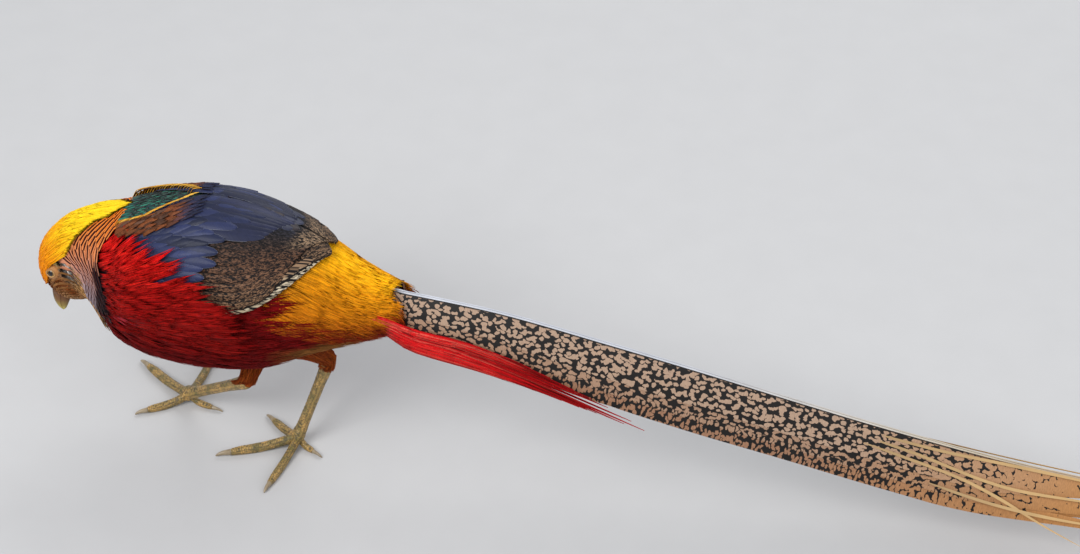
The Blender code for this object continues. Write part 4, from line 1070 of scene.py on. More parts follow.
breast = {
    "tries": 2880, "perTuft": 7, "nodes": 5, "spread": 2.7, "close": 0.72, "lengths": (0.6, 1.0),
    "rough": 1.0, "seed": 3, "halfWidth": 0.42, "taper": (0.9, 1.0, 0.85, 0.55, 0.015), "thick": 0.2,
    "shades": (0.6, 1.3), "rootToTip": (0.55, 1.25), "colours": ("#980c0c", "#780708", "#6e0809", "#6a0c0c"),
    # The near black under the cape is painted shade on the tufts just behind the cape's rear edge
    "shadeUnderCape": "#120a10", "rear": "#3a1210", "belly": "#8a5c2c",
}
flank = {
    "tries": 1560, "perTuft": 7, "nodes": 6, "spread": 1.8, "close": 0.85, "lengths": (0.6, 1.0),
    "rough": 0.7, "seed": 8,
    "halfWidth": 0.42, "taper": (0.8, 1, 1, 0.85, 0.5, 0.015), "thick": 0.2, "steps": 9,
    "shades": (0.6, 1.25), "rootToTip": (0.45, 1.3), "colours": ("#c40e0c", "#d81512", "#e8241a", "#cc100e"),
    # The pale pink is a painted highlight on a few strands; the near black under the cape is painted shade
    "pale": "#c84a5c", "shadeUnderCape": "#0e080c", "inner": 24, "outer": 124,
    # degrees from the ridge, and the station that the plumes reach there
    "tips": ((22, 29, 38, 45, 58, 62, 72, 82, 103), (7.2, 7.55, 8.2, 8.85, 9.3, 9.65, 9.85, 10.3, 10.4)),
}
rumpCoat = {
    "tries": 2812, "perTuft": 6, "nodes": 6, "spread": 2.6, "close": 0.3, "lengths": (0.7, 1.0), "rough": 0.4,
    "seed": 4, "halfWidth": 0.42, "taper": (0.9, 1.0, 0.95, 0.8, 0.5, 0.015), "thick": 0.18,
    "shades": (0.7, 1.14), "rootToTip": (0.68, 1.24), "colours": ("#fdbe10", "#e8980e", "#c26a0c", "#9e440a"),
    "red": "#8c160a", "outer": 146,
}


def coatHeight(sPath, tPath, top, rise, loose):
    # Height of a tuft's course: from under the skin up to its layer, its end lifted by a draw up to loose,
    # and by the coat's depth behind the thighs
    part = np.linspace(0, 1, sPath.shape[1])
    h = -3.4 + top * np.clip(part * rise, 0, 1) ** 0.8 + draw.uniform(0, loose, (len(sPath), 1)) * part
    return h + np.clip(sPath - 11.2, 0, 2) * 4.6 * between(np.abs(tPath), 85, 125) * part


def makeBreast():
    # Hair-like scarlet tufts over breast, flanks and belly, laid tailwards
    def density(s, theta):
        away = np.abs(theta)
        wingEdge = np.interp(s, (6.6, 7.3, 7.9, 8.6, 9.2, 10.0, 10.7, 11.4), (30, 40, 60, 72, 78, 76, 66, 60))
        return (away > wingEdge) & (s < goldFront(away) + 0.1) & (s > capeFront(away) + 0.1)
    for side, name in bothSides:
        s, theta = scatter(breast["tries"], (6.15, 13.9), sorted((0, side * 180)), density)
        count, away = len(s), np.abs(theta)
        up = np.radians(np.interp(away, (30, 70, 110, 180), (-6, -12, -4, 0)))
        length = draw.uniform(30, 46, count) * np.interp(s, (6, 7, 12, 14), (0.6, 0.9, 1, 0.7))
        sPath, tPath = walk(s, theta, length, np.sign(theta) * up + draw.normal(0, 0.07, count), 7)
        path, outward = onBody(sPath, tPath, coatHeight(sPath, tPath, 3.0, 2.2, 1.5))
        tint = blend((away - 40) / 110, *breast["colours"])
        below = between(away, 58, 72) * between(away, 122, 112)
        # Painted shade: near black on the tufts just behind the cape's rear edge, under its overhang
        tint = over(tint, below * between(capeRear(away) + 0.2 - s, 0, 0.08), breast["shadeUnderCape"])
        tint = over(tint, 0.5 * between(s, 12.2, 13.2), breast["rear"])
        belly = between(away, 120, 130) * between(s, 9.8, 10.3) * between(s, 11.9, 11.4)
        tint = over(tint, 0.85 * belly, breast["belly"])
        growTufts("breast" + name, path, outward, tint, onMap(s, theta), breast, hair, "body_feathers")


def makeFlankPlumes():
    # Bright plumes of the breast's side that lie over the front of the wing and end in loose points
    tipAt = lambda away: np.interp(away, *flank["tips"])
    def density(s, theta):
        away = np.abs(theta)
        shown = (s > capeFront(away) + 0.2) & (s < tipAt(np.minimum(away, 112)) - 0.3)
        return shown * between(away, flank["outer"], 98)
    for side, name in bothSides:
        s, theta = scatter(flank["tries"], (6.35, 9.6),
                           sorted((side * flank["inner"], side * flank["outer"])), density)
        away = np.abs(theta)
        turn = -side * np.radians(np.interp(away, (24, 43, 61, 76, 90, 112), (40, 36, 24, 18, 10, 3)))
        length = draw.uniform(28, 44, len(s)) * np.interp(s, (6.3, 7.4, 9), (0.6, 0.85, 1.0))
        sPath, tPath = walk(s, theta, length, turn + draw.normal(0, 0.09, len(s)), flank["steps"])
        end = np.abs(tPath[:, -1])
        kept = (sPath[:, -1] < tipAt(end) + draw.normal(0, 0.08, len(s))) & (end > 21)
        s, theta, away, sPath, tPath = (v[kept] for v in (s, theta, away, sPath, tPath))
        count = len(s)
        part = np.linspace(0, 1, flank["steps"])
        onWing = between(sPath, 7.0, 7.7) * between(np.abs(tPath), 108, 90)
        low, high = (np.interp(part, (0, 0.3, 1), heights) for heights in ((-1.8, 0.5, 1.4), (4.2, 6.6, 7.4)))
        h = low * (1 - onWing) + high * onWing + draw.uniform(-0.4, 1.2, (count, 1)) * part
        path, outward = onBody(sPath, tPath, h)
        # Painted shade: the plumes darker towards the underside, down to 0.28 of their colour at 120 degrees
        # from the ridge
        shade = np.interp(away, (60, 80, 100, 120), (1.0, 0.5, 0.36, 0.28))
        tint = anyOf(count, flank["colours"]) * shade[:, None]
        # Painted highlight: about one strand in fifty laid over with pale pink
        tint = over(tint, 0.4 * (draw.uniform(0, 1, count) < 0.02), flank["pale"])
        # Painted shade: the plumes darken to near black just behind the cape's rear edge, under its overhang
        behind = (sPath - capeRear(np.abs(tPath)))[:, (0, 1, 3, 5, 6, 8)]
        shadeUnderCape = between(behind, 0.28, 0.16) * (between(away, 60, 72) * between(away, 118, 110))[:, None]
        growTufts("flankPlumes" + name, path, outward, tint, onMap(s, theta), flank, hair, "body_feathers",
                  (shadeUnderCape, flank["shadeUnderCape"]))


def makeRump():
    # Long silky golden tufts from the lower back to over the tail's root
    for side, name, shift in ((-1, "Left", 0.0), (1, "Right", 0.12)):
        goldEnd = lambda away: np.interp(away, (0, 30, 55, 80), (13.28, 13.32, 13.7, 13.85)) + shift
        def density(s, theta):
            away = np.abs(theta)
            return (s > goldFront(away) - 0.1) & (away < 150) & (s < goldEnd(away) - 0.4)
        s, theta = scatter(rumpCoat["tries"], (9.6, 13.55), sorted((0, side * rumpCoat["outer"])), density)
        count, away = len(s), np.abs(theta)
        length = draw.uniform(28, 44, count)
        length = np.minimum(length, (goldEnd(away) + draw.uniform(-0.25, 0.12, count) - s) * 24)
        turn = np.sign(theta) * np.radians(np.interp(away, (0, 40, 75, 100, 125, 146), (0, 8, 26, 34, 26, 8)))
        sPath, tPath = walk(s, theta, length, turn + draw.normal(0, 0.035, count), 7)
        path, outward = onBody(sPath, tPath, coatHeight(sPath, tPath, 3.2, 2.0, 0.8))
        redFrom = np.interp(s, (10, 11.6, 12.6, 13.5), (80, 84, 76, 74))
        redder = 0.85 * between(away + draw.normal(0, 4, count) - redFrom, 0, 12)
        tint = over(blend((away - 5) / 115, *rumpCoat["colours"]), redder, rumpCoat["red"])
        growTufts("rumpPlumes" + name, path, outward, tint, onMap(s, theta), rumpCoat, silk, "rump_feathers")


makeBreast()
makeFlankPlumes()
makeRump()
print("body coat made")


wing = {
    # station and degrees from the ridge, from shoulder to tip, along the upper and the lower edge
    "top": ((7.45, -26), (8.1, -12), (8.8, -2.0), (9.5, -1.2), (10.2, -1.2), (10.85, -1.2), (11.35, -1.8)),
    "foot": ((7.35, -74), (8.2, -82), (9.2, -83), (9.9, -80), (10.5, -67), (11.05, -43), (11.5, -6)),
    "rows": 30, "columns": 24, "thick": 0.35, "height": 62.0,
    # rows of coverts: part of the way to their border, number, length as part of the wing, height
    "coverts": ((0.16, 14, 0.10, 2.8), (0.28, 14, 0.12, 3.1), (0.40, 13, 0.14, 3.3), (0.52, 13, 0.16, 3.5),
                (0.64, 12, 0.18, 3.8), (0.76, 11, 0.2, 4.0), (0.88, 11, 0.24, 4.2), (1.0, 10, 0.3, 4.4)),
    # v, and the u of the coverts' border there
    "border": ((0, 0.15, 0.35, 0.5, 0.7, 0.9, 1.0), (0.76, 0.63, 0.5, 0.44, 0.42, 0.3, 0.28)),
    # primaries from the top: v, u of root and tip, half width, height, colour
    "primaries": ((0.865, 0.30, 0.95, 2.4, 2.5, "#8c7056"), (0.905, 0.32, 0.97, 2.0, 2.3, "#a48c70"),
                  (0.94, 0.30, 0.985, 1.5, 2.2, "#16130f"), (0.965, 0.34, 0.97, 1.6, 1.9, "#c4b498"),
                  (0.99, 0.30, 0.99, 2.4, 1.6, "#c8baa0"), (1.015, 0.36, 0.96, 2.2, 1.3, "#b8a88c")),
    "blue": ("#242a48", "#2c3458", "#1a1f34", "#282f50"), "dark": ("#1c2034", "#262a44", "#161a28"),
    "brown": ("#86664c", "#785640", "#644634", "#443630", "#2a2a34", "#20222e"), "brownEnd": "#a08468",
    "ends": ("#7c6048", "#8e7054", "#5c4636"),
}


def wingPlace(u, v):
    # Station and theta at u from shoulder to tip and v from the back's edge to the lower edge
    top, foot = (rowsAt(wing[edge], u * (len(wing[edge]) - 1)) for edge in ("top", "foot"))
    place = top + (foot - top) * np.asarray(v)[..., None]
    return place[..., 0], place[..., 1]


def makeMottled():
    # Brown secondaries: buff ground broken by black mottling a few mm across, darker towards the rims
    made, tree = newMaterial("mottled brown wing feathers", 0.6, 0.15)
    vane = addNode(tree, "Attribute", {"attribute_name": "vane"}, "Vector")
    across, along, lot = addNode(tree, "SeparateXYZ", {0: vane}, None)
    field = addNode(tree, "CombineXYZ",
                    {0: across, 1: along,
                     2: addNode(tree, "Math", {"operation": "MULTIPLY", 0: lot, 1: 40.0})})
    mottle = addNode(tree, "TexNoise",
                     {"Vector": addNode(tree, "VectorMath",
                                        {"operation": "MULTIPLY", 0: field, 1: (1.7, 0.6, 1.0)}),
                      "Scale": 0.7, "Detail": 4.0, "Roughness": 0.7, "Distortion": 0.6})
    ground = addNode(tree, "ValToRGB", {0: mottle, "stops": ((0.48, "#000000"), (0.58, "#ffffff"))})
    beside = addNode(tree, "Math",
                     {"operation": "ABSOLUTE",
                      0: addNode(tree, "SeparateXYZ",
                                 {0: addNode(tree, "Attribute", {"attribute_name": "place"}, "Vector")},
                                 None)[0]})
    colour = addNode(tree, "Mix",
                     {"data_type": "RGBA", 0: ground, 6: "#0c0b0d",
                      7: addNode(tree, "Attribute", {"attribute_name": "tint"}, "Color")}, 2)
    shade = addNode(tree, "MapRange",
                    {"Value": beside, "From Min": 0.66, "From Max": 0.8, "To Min": 1.0, "To Max": 0.22})
    paint(tree, addNode(tree, "VectorMath", {"operation": "SCALE", 0: colour, "Scale": shade}), mottle, 0.3)
    return made


def makePrimaryMaterial():
    # Primaries: buff outer web crossed by slanting black bars
    made, tree = newMaterial("barred primary feathers", 0.6, 0.15)
    vane = addNode(tree, "Attribute", {"attribute_name": "vane"}, "Vector")
    across, along, lot = addNode(tree, "SeparateXYZ", {0: vane}, None)
    slant = addNode(tree, "Math",
                    {"operation": "MULTIPLY_ADD", 0: lot, 1: 17.0,
                     2: addNode(tree, "Math", {"operation": "MULTIPLY_ADD", 0: across, 1: 1.4, 2: along})})
    bars = addNode(tree, "TexNoise",
                   {"Vector": addNode(tree, "CombineXYZ", {0: slant}), "Scale": 0.28, "Detail": 1.5})
    pale = addNode(tree, "ValToRGB", {0: bars, "stops": ((0.47, "#000000"), (0.53, "#ffffff"))})
    tint = addNode(tree, "Attribute", {"attribute_name": "tint"}, "Color")
    paint(tree, addNode(tree, "Mix", {"data_type": "RGBA", 0: pale, 6: "#121012", 7: tint}, 2))
    return made


mottled = makeMottled()
barred = makePrimaryMaterial()


def growOnWing(name, side, root, tip, heights, half, tint, material, camber, columns=9):
    # Feathers along straight lines of the wing's own (u, v) sheet, from root to tip, with heights evenly
    # spaced along them; tint is a colour for each feather, or the row of colours that it is drawn from
    root, tip = (np.stack(np.broadcast_arrays(*place), -1) for place in (root, tip))
    heights = np.stack([np.broadcast_to(h, len(tip)) for h in heights], -1)
    place = root[:, None] + (tip - root)[:, None] * vanePart[:, None]
    s, theta = wingPlace(place[..., 0], place[..., 1])
    theta = side * -theta
    level = vanePart * (heights.shape[1] - 1)
    low = np.clip(level.astype(int), 0, heights.shape[1] - 2)
    h = heights[:, low] * (1 - (level - low)) + heights[:, low + 1] * (level - low)
    path, outward = onBody(s, theta, h)
    tint = anyOf(len(s), tint) if isinstance(tint, tuple) else tint
    growFeathers(name, path, outward, half, wing["thick"], columns, tint, None, material, "wing_feathers",
                 camber, part=vanePart)


def makeWing(side, name):
    # Shell, then coverts by rows up to a slanting border, secondaries, primaries and tertials
    rows, columns = wing["rows"], wing["columns"]
    u, v = np.meshgrid(np.linspace(0, 0.97, rows), np.linspace(0.02, 0.98, columns), indexing="ij")
    s, theta = wingPlace(u, v)
    bulge = np.sin(math.pi * np.clip(v, 0.05, 0.95)) * np.sin(math.pi * np.clip(u, 0.1, 0.9))
    points = [onBody(s, side * -theta, h)[0].reshape(-1, 3) for h in (0.9 + 0.9 * bulge, 0.4)]
    values = {"OFBake": np.stack([u, v], -1), "tint": blend((v - 0.1) / 0.3, "#20243a", "#7a5c46"),
              "vane": np.stack([u * 100, v * 60, 0 * u], -1), "place": np.zeros((rows, columns, 3))}
    values = {key: np.concatenate([value, value]) for key, value in values.items()}
    faces = sheetFaces(rows, columns, side)
    shell = buildMesh("wingShell" + name, np.concatenate(points), faces, [mottled], "wing_feathers", values)
    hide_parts("wing_" + name.lower())
    roots, tips, tops, widths = [], [], [], []
    for q, count, length, top in wing["coverts"]:
        v = np.linspace(0.95, 0.05, count) + draw.normal(0, 0.01, count)
        end = np.interp(v, *wing["border"]) * q + draw.normal(0, 0.006, count)
        roots.append((np.maximum(end - length * (1.0 - 0.3 * v), 0.0), v * 0.96 + 0.02))
        tips.append((end, v - 0.02))
        tops.append(np.full(count, top))
        widths.append(np.full(count, 0.68 * wing["height"] / count))
    root, tip, top, width = (np.concatenate(v, -1) for v in (roots, tips, tops, widths))
    growOnWing("wingCoverts" + name, side, root, tip, (0.9, top * 0.7, top * 0.93, top),
               width[:, None] * roundEnd(vanePart, 0.55), wing["blue"], blueVane, 0.8)
    f = np.linspace(0, 1, 14)  # secondaries: long, mottled brown, darker above
    buff = between(f, 0.45, 0.65)[:, None] * between(vanePart, 0.8, 0.86)
    tint = over(blend(f, *wing["brown"])[:, None], buff, wing["brownEnd"])
    growOnWing("wingSecondaries" + name, side, (0.2, 0.94 - 0.9 * f), (0.70 + 0.28 * f**0.7, 0.94 - 0.84 * f),
               (1.2, 2.2 + 0.8 * f, 2.5 + 1.2 * f), 4.0 * roundEnd(vanePart, 0.7, 0.6), tint, mottled, 0.8)
    f = np.linspace(0, 1, 6)  # short feathers that close the wing's tip
    growOnWing("wingEnds" + name, side, (0.84, 0.84 - 0.62 * f), (0.985 + 0.01 * f, 0.86 - 0.7 * f),
               (1.6, 2.9, 3.0), 4.2 * roundEnd(vanePart, 0.7, 0.6), wing["ends"], mottled, 0.6)
    # primaries along the lower edge, one under the other: plain buff, a black line, pale with bars
    at, first, last, half, top = (np.array([line[k] for line in wing["primaries"]]) for k in range(5))
    tint = np.array([linear(line[5]) for line in wing["primaries"]])
    growOnWing("wingPrimaries" + name, side, (first, at - 0.01), (last, at), (0.9, top, top + 0.3),
               half[:, None] * roundEnd(vanePart, 0.8, 0.6), tint, barred, 0.4, 7)
    f = np.linspace(0, 1, 8)  # tertials: broad, blue-black, along the back's edge
    growOnWing("wingTertials" + name, side, (0.22, 0.40 - 0.35 * f), (0.64 + 0.14 * f, 0.36 - 0.31 * f),
               (1.4, 3.0 + 0.6 * f, 3.4 + 0.7 * f, 3.0 + 1.0 * f), 4.6 * roundEnd(vanePart, 0.62, 0.6),
               wing["dark"], blueVane, 1.0)


for side, name in bothSides:
    makeWing(side, name)
print("wings made")


tail = {
    # ridge x, ridge z, depth of each slope
    "rows": ((122, 145.5, 23), (190, 139, 29), (259, 126, 40), (327, 112, 42.5), (395, 97, 41.5),
             (463, 83, 41.5), (531, 71, 41), (590, 64, 34), (650, 60, 22), (700, 60, 11)),
    "angle": 58.0, "length": 585, "depth": 53, "start": -0.045, "grid": (90, 15), "thick": 0.6,
    # feathers from the top: part of the tail's length, mm down the slope of their two edges, and their curl
    "layers": ((1.0, 0.6, 30.0, 0.0), (0.97, 20.0, 42.0, 10.0), (0.93, 34.0, 53.0, 22.0),
               (0.82, 26.0, 47.0, 4.0)),
    "spots": ("#a88c76", "#98755c", "#8a5a3e"), "cinnamon": "#b07c48",
}


def tailPoint(t, b, n, side):
    # Ridge at t from root to tip, b mm down the slope and n mm out of it; also the slope and the normal
    t, b, n = np.broadcast_arrays(*(np.asarray(v, float) for v in (t, b, n)))
    count = len(tail["rows"]) - 1
    first = np.diff(np.array(tail["rows"][:2], float), axis=0)[0]
    ridge = rowsAt(tail["rows"], t * count) + np.minimum(t * count, 0)[..., None] * first
    before, after = (rowsAt(tail["rows"], np.clip(t * count + step, 0, count)) for step in (-0.01, 0.01))
    ahead = after - before
    along = unit(np.stack([ahead[..., 0], 0 * t, ahead[..., 1]], -1))
    down = np.stack([along[..., 2], 0 * t, -along[..., 0]], -1)
    out = np.array((0.0, float(side), 0.0))
    angle = math.radians(tail["angle"])
    slope = down * math.sin(angle) + out * math.cos(angle)
    normal = out * math.sin(angle) - down * math.cos(angle)
    middle = np.stack([ridge[..., 0], 0 * t, ridge[..., 1]], -1)
    return middle + slope * b[..., None] + normal * n[..., None], slope, normal


def makeTailMaterial():
    # Tail feathers: black, with buff spots that are large by the ridge and small and slanting below,
    # giving way to plain cinnamon at the tips
    made, tree = newMaterial("spotted tail feathers", 0.5, 0.25)
    vane = addNode(tree, "Attribute", {"attribute_name": "vane"}, "Vector")
    warp = addNode(tree, "TexNoise", {"Vector": vane, "Scale": 0.25, "Detail": 2.0}, "Color")
    pushed = addNode(tree, "VectorMath", {"operation": "MULTIPLY_ADD", 0: warp, 1: (4.5, 4.5, 0.0), 2: vane})
    plain = addNode(tree, "MapRange",
                    {"Value": addNode(tree, "SeparateXYZ",
                                      {0: addNode(tree, "Attribute", {"attribute_name": "place"}, "Vector")},
                                      None)[1], "From Min": 0.56, "From Max": 0.86})
    fade = addNode(tree, "Math",
                   {"operation": "MULTIPLY_ADD",
                    0: addNode(tree, "TexNoise", {"Vector": vane, "Scale": 0.25, "Detail": 3.0}), 1: 0.9,
                    2: -0.45})
    plainAt = addNode(tree, "Math", {"operation": "ADD", "use_clamp": True, 0: plain, 1: fade})
    joints = addNode(tree, "Math",
                     {"operation": "MULTIPLY_ADD",
                      0: addNode(tree, "TexNoise", {"Vector": vane, "Scale": 0.3, "Detail": 0.5}), 1: 0.3,
                      2: -0.15})
    spots = []
    for size, low, high in (((0.34, 0.24, 1.0), 0.08, 0.13), ((0.24, 0.44, 1.0), 0.08, 0.14)):
        cells = addNode(tree, "TexVoronoi",
                        {"feature": "SMOOTH_F1", "Scale": 1.0, "Smoothness": 0.22, "Randomness": 0.9,
                         "voronoi_dimensions": "2D",
                         "Vector": addNode(tree, "VectorMath",
                                           {"operation": "MULTIPLY", 0: pushed, 1: size})})
        near = addNode(tree, "Math",
                       {"operation": "ADD",
                        0: addNode(tree, "Math", {"operation": "MULTIPLY_ADD", 0: cells, 1: -1.0, 2: 0.5}),
                        1: joints})
        near = addNode(tree, "Math", {"operation": "MULTIPLY_ADD", 0: plainAt, 1: 0.5, 2: near})
        spots.append(addNode(tree, "MapRange", {"Value": near, "From Min": low, "From Max": high,
                                                "interpolation_type": "SMOOTHSTEP"}))
    lower = addNode(tree, "MapRange",
                    {"Value": addNode(tree, "SeparateXYZ", {0: pushed}, None)[0], "From Min": 31.8,
                     "From Max": 32.4})
    spot = addNode(tree, "Mix", {"data_type": "FLOAT", 0: lower, 2: spots[0], 3: spots[1]})
    beside = addNode(tree, "Math",
                     {"operation": "MAXIMUM",
                      0: addNode(tree, "MapRange",
                                 {"Value": addNode(tree, "SeparateXYZ", {0: vane}, None)[0], "From Min": 1.8,
                                  "From Max": 2.6}), 1: plain})
    colour = addNode(tree, "Mix",
                     {"data_type": "RGBA",
                      0: addNode(tree, "Math", {"operation": "MULTIPLY", 0: spot, 1: beside}), 6: "#14100e",
                      7: addNode(tree, "Attribute", {"attribute_name": "tint"}, "Color")}, 2)
    barbs = addNode(tree, "TexNoise",
                    {"Vector": addNode(tree, "VectorMath",
                                       {"operation": "MULTIPLY", 0: vane, 1: (0.5, 2.6, 1.0)}), "Scale": 0.8,
                     "Detail": 3.0})
    shade = addNode(tree, "MapRange",
                    {"Value": barbs, "From Min": 0.3, "From Max": 0.7, "To Min": 0.8, "To Max": 1.15})
    paint(tree, addNode(tree, "VectorMath", {"operation": "SCALE", 0: colour, "Scale": shade}))
    return made


def makeTail(side, name):
    # Long graduated vanes, each a slope of the tail from its top edge to its low edge, tapering at the tip
    rows, columns = tail["grid"]
    parts, values = [], {"OFBake": [], "tint": [], "vane": [], "place": []}
    for layer, (end, top, low, curl) in enumerate(tail["layers"]):
        t, v = np.meshgrid(np.linspace(tail["start"], end, rows), np.linspace(0, 1, columns), indexing="ij")
        depth = rowsAt(tail["rows"], t * (len(tail["rows"]) - 1))[..., 2] / tail["depth"]
        depth = depth * np.interp(t, (-0.045, 0, 0.05, 0.12, 0.25), (0.6, 1, 1.16, 1.14, 1))
        part = t / end
        taper = np.interp(part, (0, 0.66, 0.82, 0.94, 1.0), (1.0, 1.0, 0.55, 0.28, 0.05))
        b = ((top + low) / 2 + (low - top) / 2 * taper * (2 * v - 1)) * depth
        if layer == 0:
            b = top + (low - top) * taper * depth * v
        tip = between(part, 0.72, 1) ** 2
        n = 1.6 * np.sin(math.pi * between(b, 0, tail["depth"])) - 1.35 * layer + curl * 0.55 * tip
        n = n + 0.5 * (1 - (2 * v - 1) ** 2) - np.clip(-t, 0, 1) * 30
        b = b + curl * 0.7 * tip
        points = []
        for h in (n + tail["thick"] / 2, n - tail["thick"] / 2):
            place = tailPoint(t, b, h, side)[0]
            place[..., 1] = side * np.maximum(side * place[..., 1], 0.2)
            points.append(place.reshape(-1, 3))
        parts.append((np.concatenate(points), sheetFaces(rows, columns, side)))
        tint = blend((part - 0.5) / 0.3, blend(layer / 3, *tail["spots"]), tail["cinnamon"])
        for back in (0, 1):
            band = 0.02 + (layer * 2 + back + 0.9 * v) / 8.4
            values["OFBake"].append(np.stack([0.02 + 0.96 * t, band], -1))
            values["tint"].append(tint)
            values["vane"].append(np.stack([b, t * tail["length"], 0 * t + layer], -1))
            values["place"].append(np.stack([2 * v - 1, part, 0 * t + layer / 4], -1))
    values = {key: np.concatenate(value) for key, value in values.items()}
    piece = buildMesh("tail" + name, *joined(parts), [makeTailMaterial()], "tail_feathers", values, sharp=50)
    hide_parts("tail_" + name.lower())


for side, name in bothSides:
    makeTail(side, name)
print("tail made")


coverts = {
    # root theta, then three places on the tail: part of its length, mm down its side and mm off it
    "courses": ((88, 0.03, 25.0, 4.0, 0.09, 26.5, 4.0, 0.16, 31, 3.6),
                (92, 0.03, 26.5, 4.2, 0.1, 28, 4.0, 0.21, 37, 3.2),
                (97, 0.03, 28.5, 4.2, 0.1, 31, 3.8, 0.25, 42, 2.8),
                (102, 0.03, 30.5, 4.2, 0.1, 34, 3.6, 0.295, 50, 2.6),
                (108, 0.03, 32, 3.6, 0.1, 36, 3.2, 0.24, 48, 2.2),
                (114, 0.03, 34, 3.2, 0.1, 38, 2.8, 0.22, 47.5, 2.0),
                (121, 0.03, 35.5, 2.8, 0.1, 40, 2.4, 0.18, 45.5, 1.8),
                (128, 0.03, 37, 2.4, 0.09, 41, 2.0, 0.15, 44, 1.6)),
    "bundles": 15, "steps": 16, "perTuft": 28, "nodes": 10, "spread": 2.4, "close": 0.85,
    "lengths": (0.45, 1.0), "rough": 0.5, "seed": 5, "halfWidth": 0.5, "thick": 0.25,
    "taper": (0.7, 1, 1, 1, 1, 0.9, 0.8, 0.65, 0.4, 0.015),
    # The pinkish red among the scarlets is a painted highlight, and the darkest crimson stands partly for
    # painted shade between strands
    "colours": ("#96080e", "#da1a1c", "#74060a", "#ee5e50"), "blade": "#8e080c", "bladeWidth": 2.2,
}


def makeCoverts():
    # Long scarlet coverts: bundles of fine barbs along a course from under the plumes to beside the tail,
    # over a narrow blade each
    rows = rowsAt(coverts["courses"], np.linspace(0, len(coverts["courses"]) - 1, coverts["bundles"]))
    for side, name in bothSides:
        paths, normals = [], []
        for theta, *places in rows:
            line = [bodyPoint(12.2, side * theta, -3.6), bodyPoint(12.9, side * theta, 0.6)]
            line += [tailPoint(*place, side)[0] for place in np.reshape(places, (3, 3))]
            line = rowsAt(np.array(line), np.linspace(0, len(line) - 1, coverts["steps"]))
            along = unit(np.gradient(line, axis=0))
            out = np.array((0.0, side * 1.0, 0.5))
            paths.append(line)
            normals.append(unit(out - along * (along @ out)[:, None]))
        path, outward = np.array(paths), np.array(normals)
        points, up = tuftPaths(path, outward, coverts)
        theta = np.repeat(side * rows[:, 0], coverts["perTuft"])
        half = coverts["halfWidth"] * np.array(coverts["taper"])
        # Strands drawn from the scarlets, among them a painted highlight in pink
        growFeathers("redCoverts" + name, points, up, half, coverts["thick"], 2,
                     anyOf(len(points), coverts["colours"]), onMap(13 + 0 * theta, theta), hair,
                     "rump_feathers")
        tint = np.broadcast_to(linear(coverts["blade"]), (len(path), 3))
        blade = np.interp(np.linspace(0, 1, coverts["steps"]), (0, 0.25, 0.7, 1), (0.5, 1, 0.8, 0.1))
        growFeathers("redCovertBlades" + name, path - outward * 0.25, outward, coverts["bladeWidth"] * blade,
                     0.3, 5, tint, None, hair, "rump_feathers")


quills = {
    "ridge": ("#c9ccd4", "#c4c6cc", "#c8bca8", "#b89a74"), "ridgeEnd": 0.93,
    "parted": ("#a88a60", "#c4a06c", "#cfa86e"), "steps": 40, "rounding": 3,
    # pale quills that part from the tail's end: places as part of its length and mm down its side
    "courses": (((0.53, 6), (0.6, 5), (0.68, 2), (0.78, 1.5), (0.9, 5)),
                ((0.53, 10), (0.585, 11.6), (0.676, 17.5), (0.773, 15), (0.9, 12)),
                ((0.52, 14), (0.575, 16), (0.629, 19), (0.679, 26), (0.732, 36), (0.786, 45)),
                ((0.6, 28), (0.65, 30), (0.706, 30.7), (0.779, 29.7), (0.88, 26))),
}


def makeQuills():
    # White quill along the ridge, and buff quills at the upper edge of the lower feathers' tips
    material, tree = newMaterial("feather quill", 0.3, 0.5, 0.2)
    grain = addNode(tree, "MapRange",
                    {"Value": addNode(tree, "TexNoise",
                                      {"Vector": addNode(tree, "TexCoord", {}, "Object"), "Scale": 60.0}),
                     "To Min": 0.8, "To Max": 1.1})
    tint = addNode(tree, "Attribute", {"attribute_name": "tint"}, "Color")
    paint(tree, addNode(tree, "VectorMath", {"operation": "SCALE", 0: tint, "Scale": grain}))
    def grow(name, course, part, half, thick, colours):
        path, _, normal = tailPoint(*course)
        tint = blend(part, *colours)[None]
        growFeathers(name, path[None], normal[None], half[None], thick, 5, tint, None, material,
                     "tail_feathers")
    for side, name in bothSides:
        t = np.linspace(-0.02, quills["ridgeEnd"], 60)
        half = np.interp(t, (0, 0.5, 0.8, 0.93), (0.6, 0.6, 0.45, 0.2))
        grow("ridgeQuill" + name, (t, 0.6, 0.8, side), t / quills["ridgeEnd"], half, 0.7, quills["ridge"])
    part = np.linspace(0, 1, quills["steps"])
    for side, name in bothSides:
        for number, course in enumerate(quills["courses"]):
            bend = rowsAt(course, part * (len(course) - 1))
            for _ in range(quills["rounding"]):  # rounds the corners of the course
                bend[1:-1] = (bend[:-2] + 2 * bend[1:-1] + bend[2:]) / 4
            lift = np.interp(part, (0, 0.3, 1), (0.9, 2.6, 3.6)) + 0.5 * number
            half = np.interp(part, (0, 0.15, 0.6, 1), (0.3, 0.95, 1.1, 0.1))
            grow("partedQuill" + name + str(number), (*bend.T, lift, side), part, half, 0.5, quills["parted"])


makeCoverts()
makeQuills()


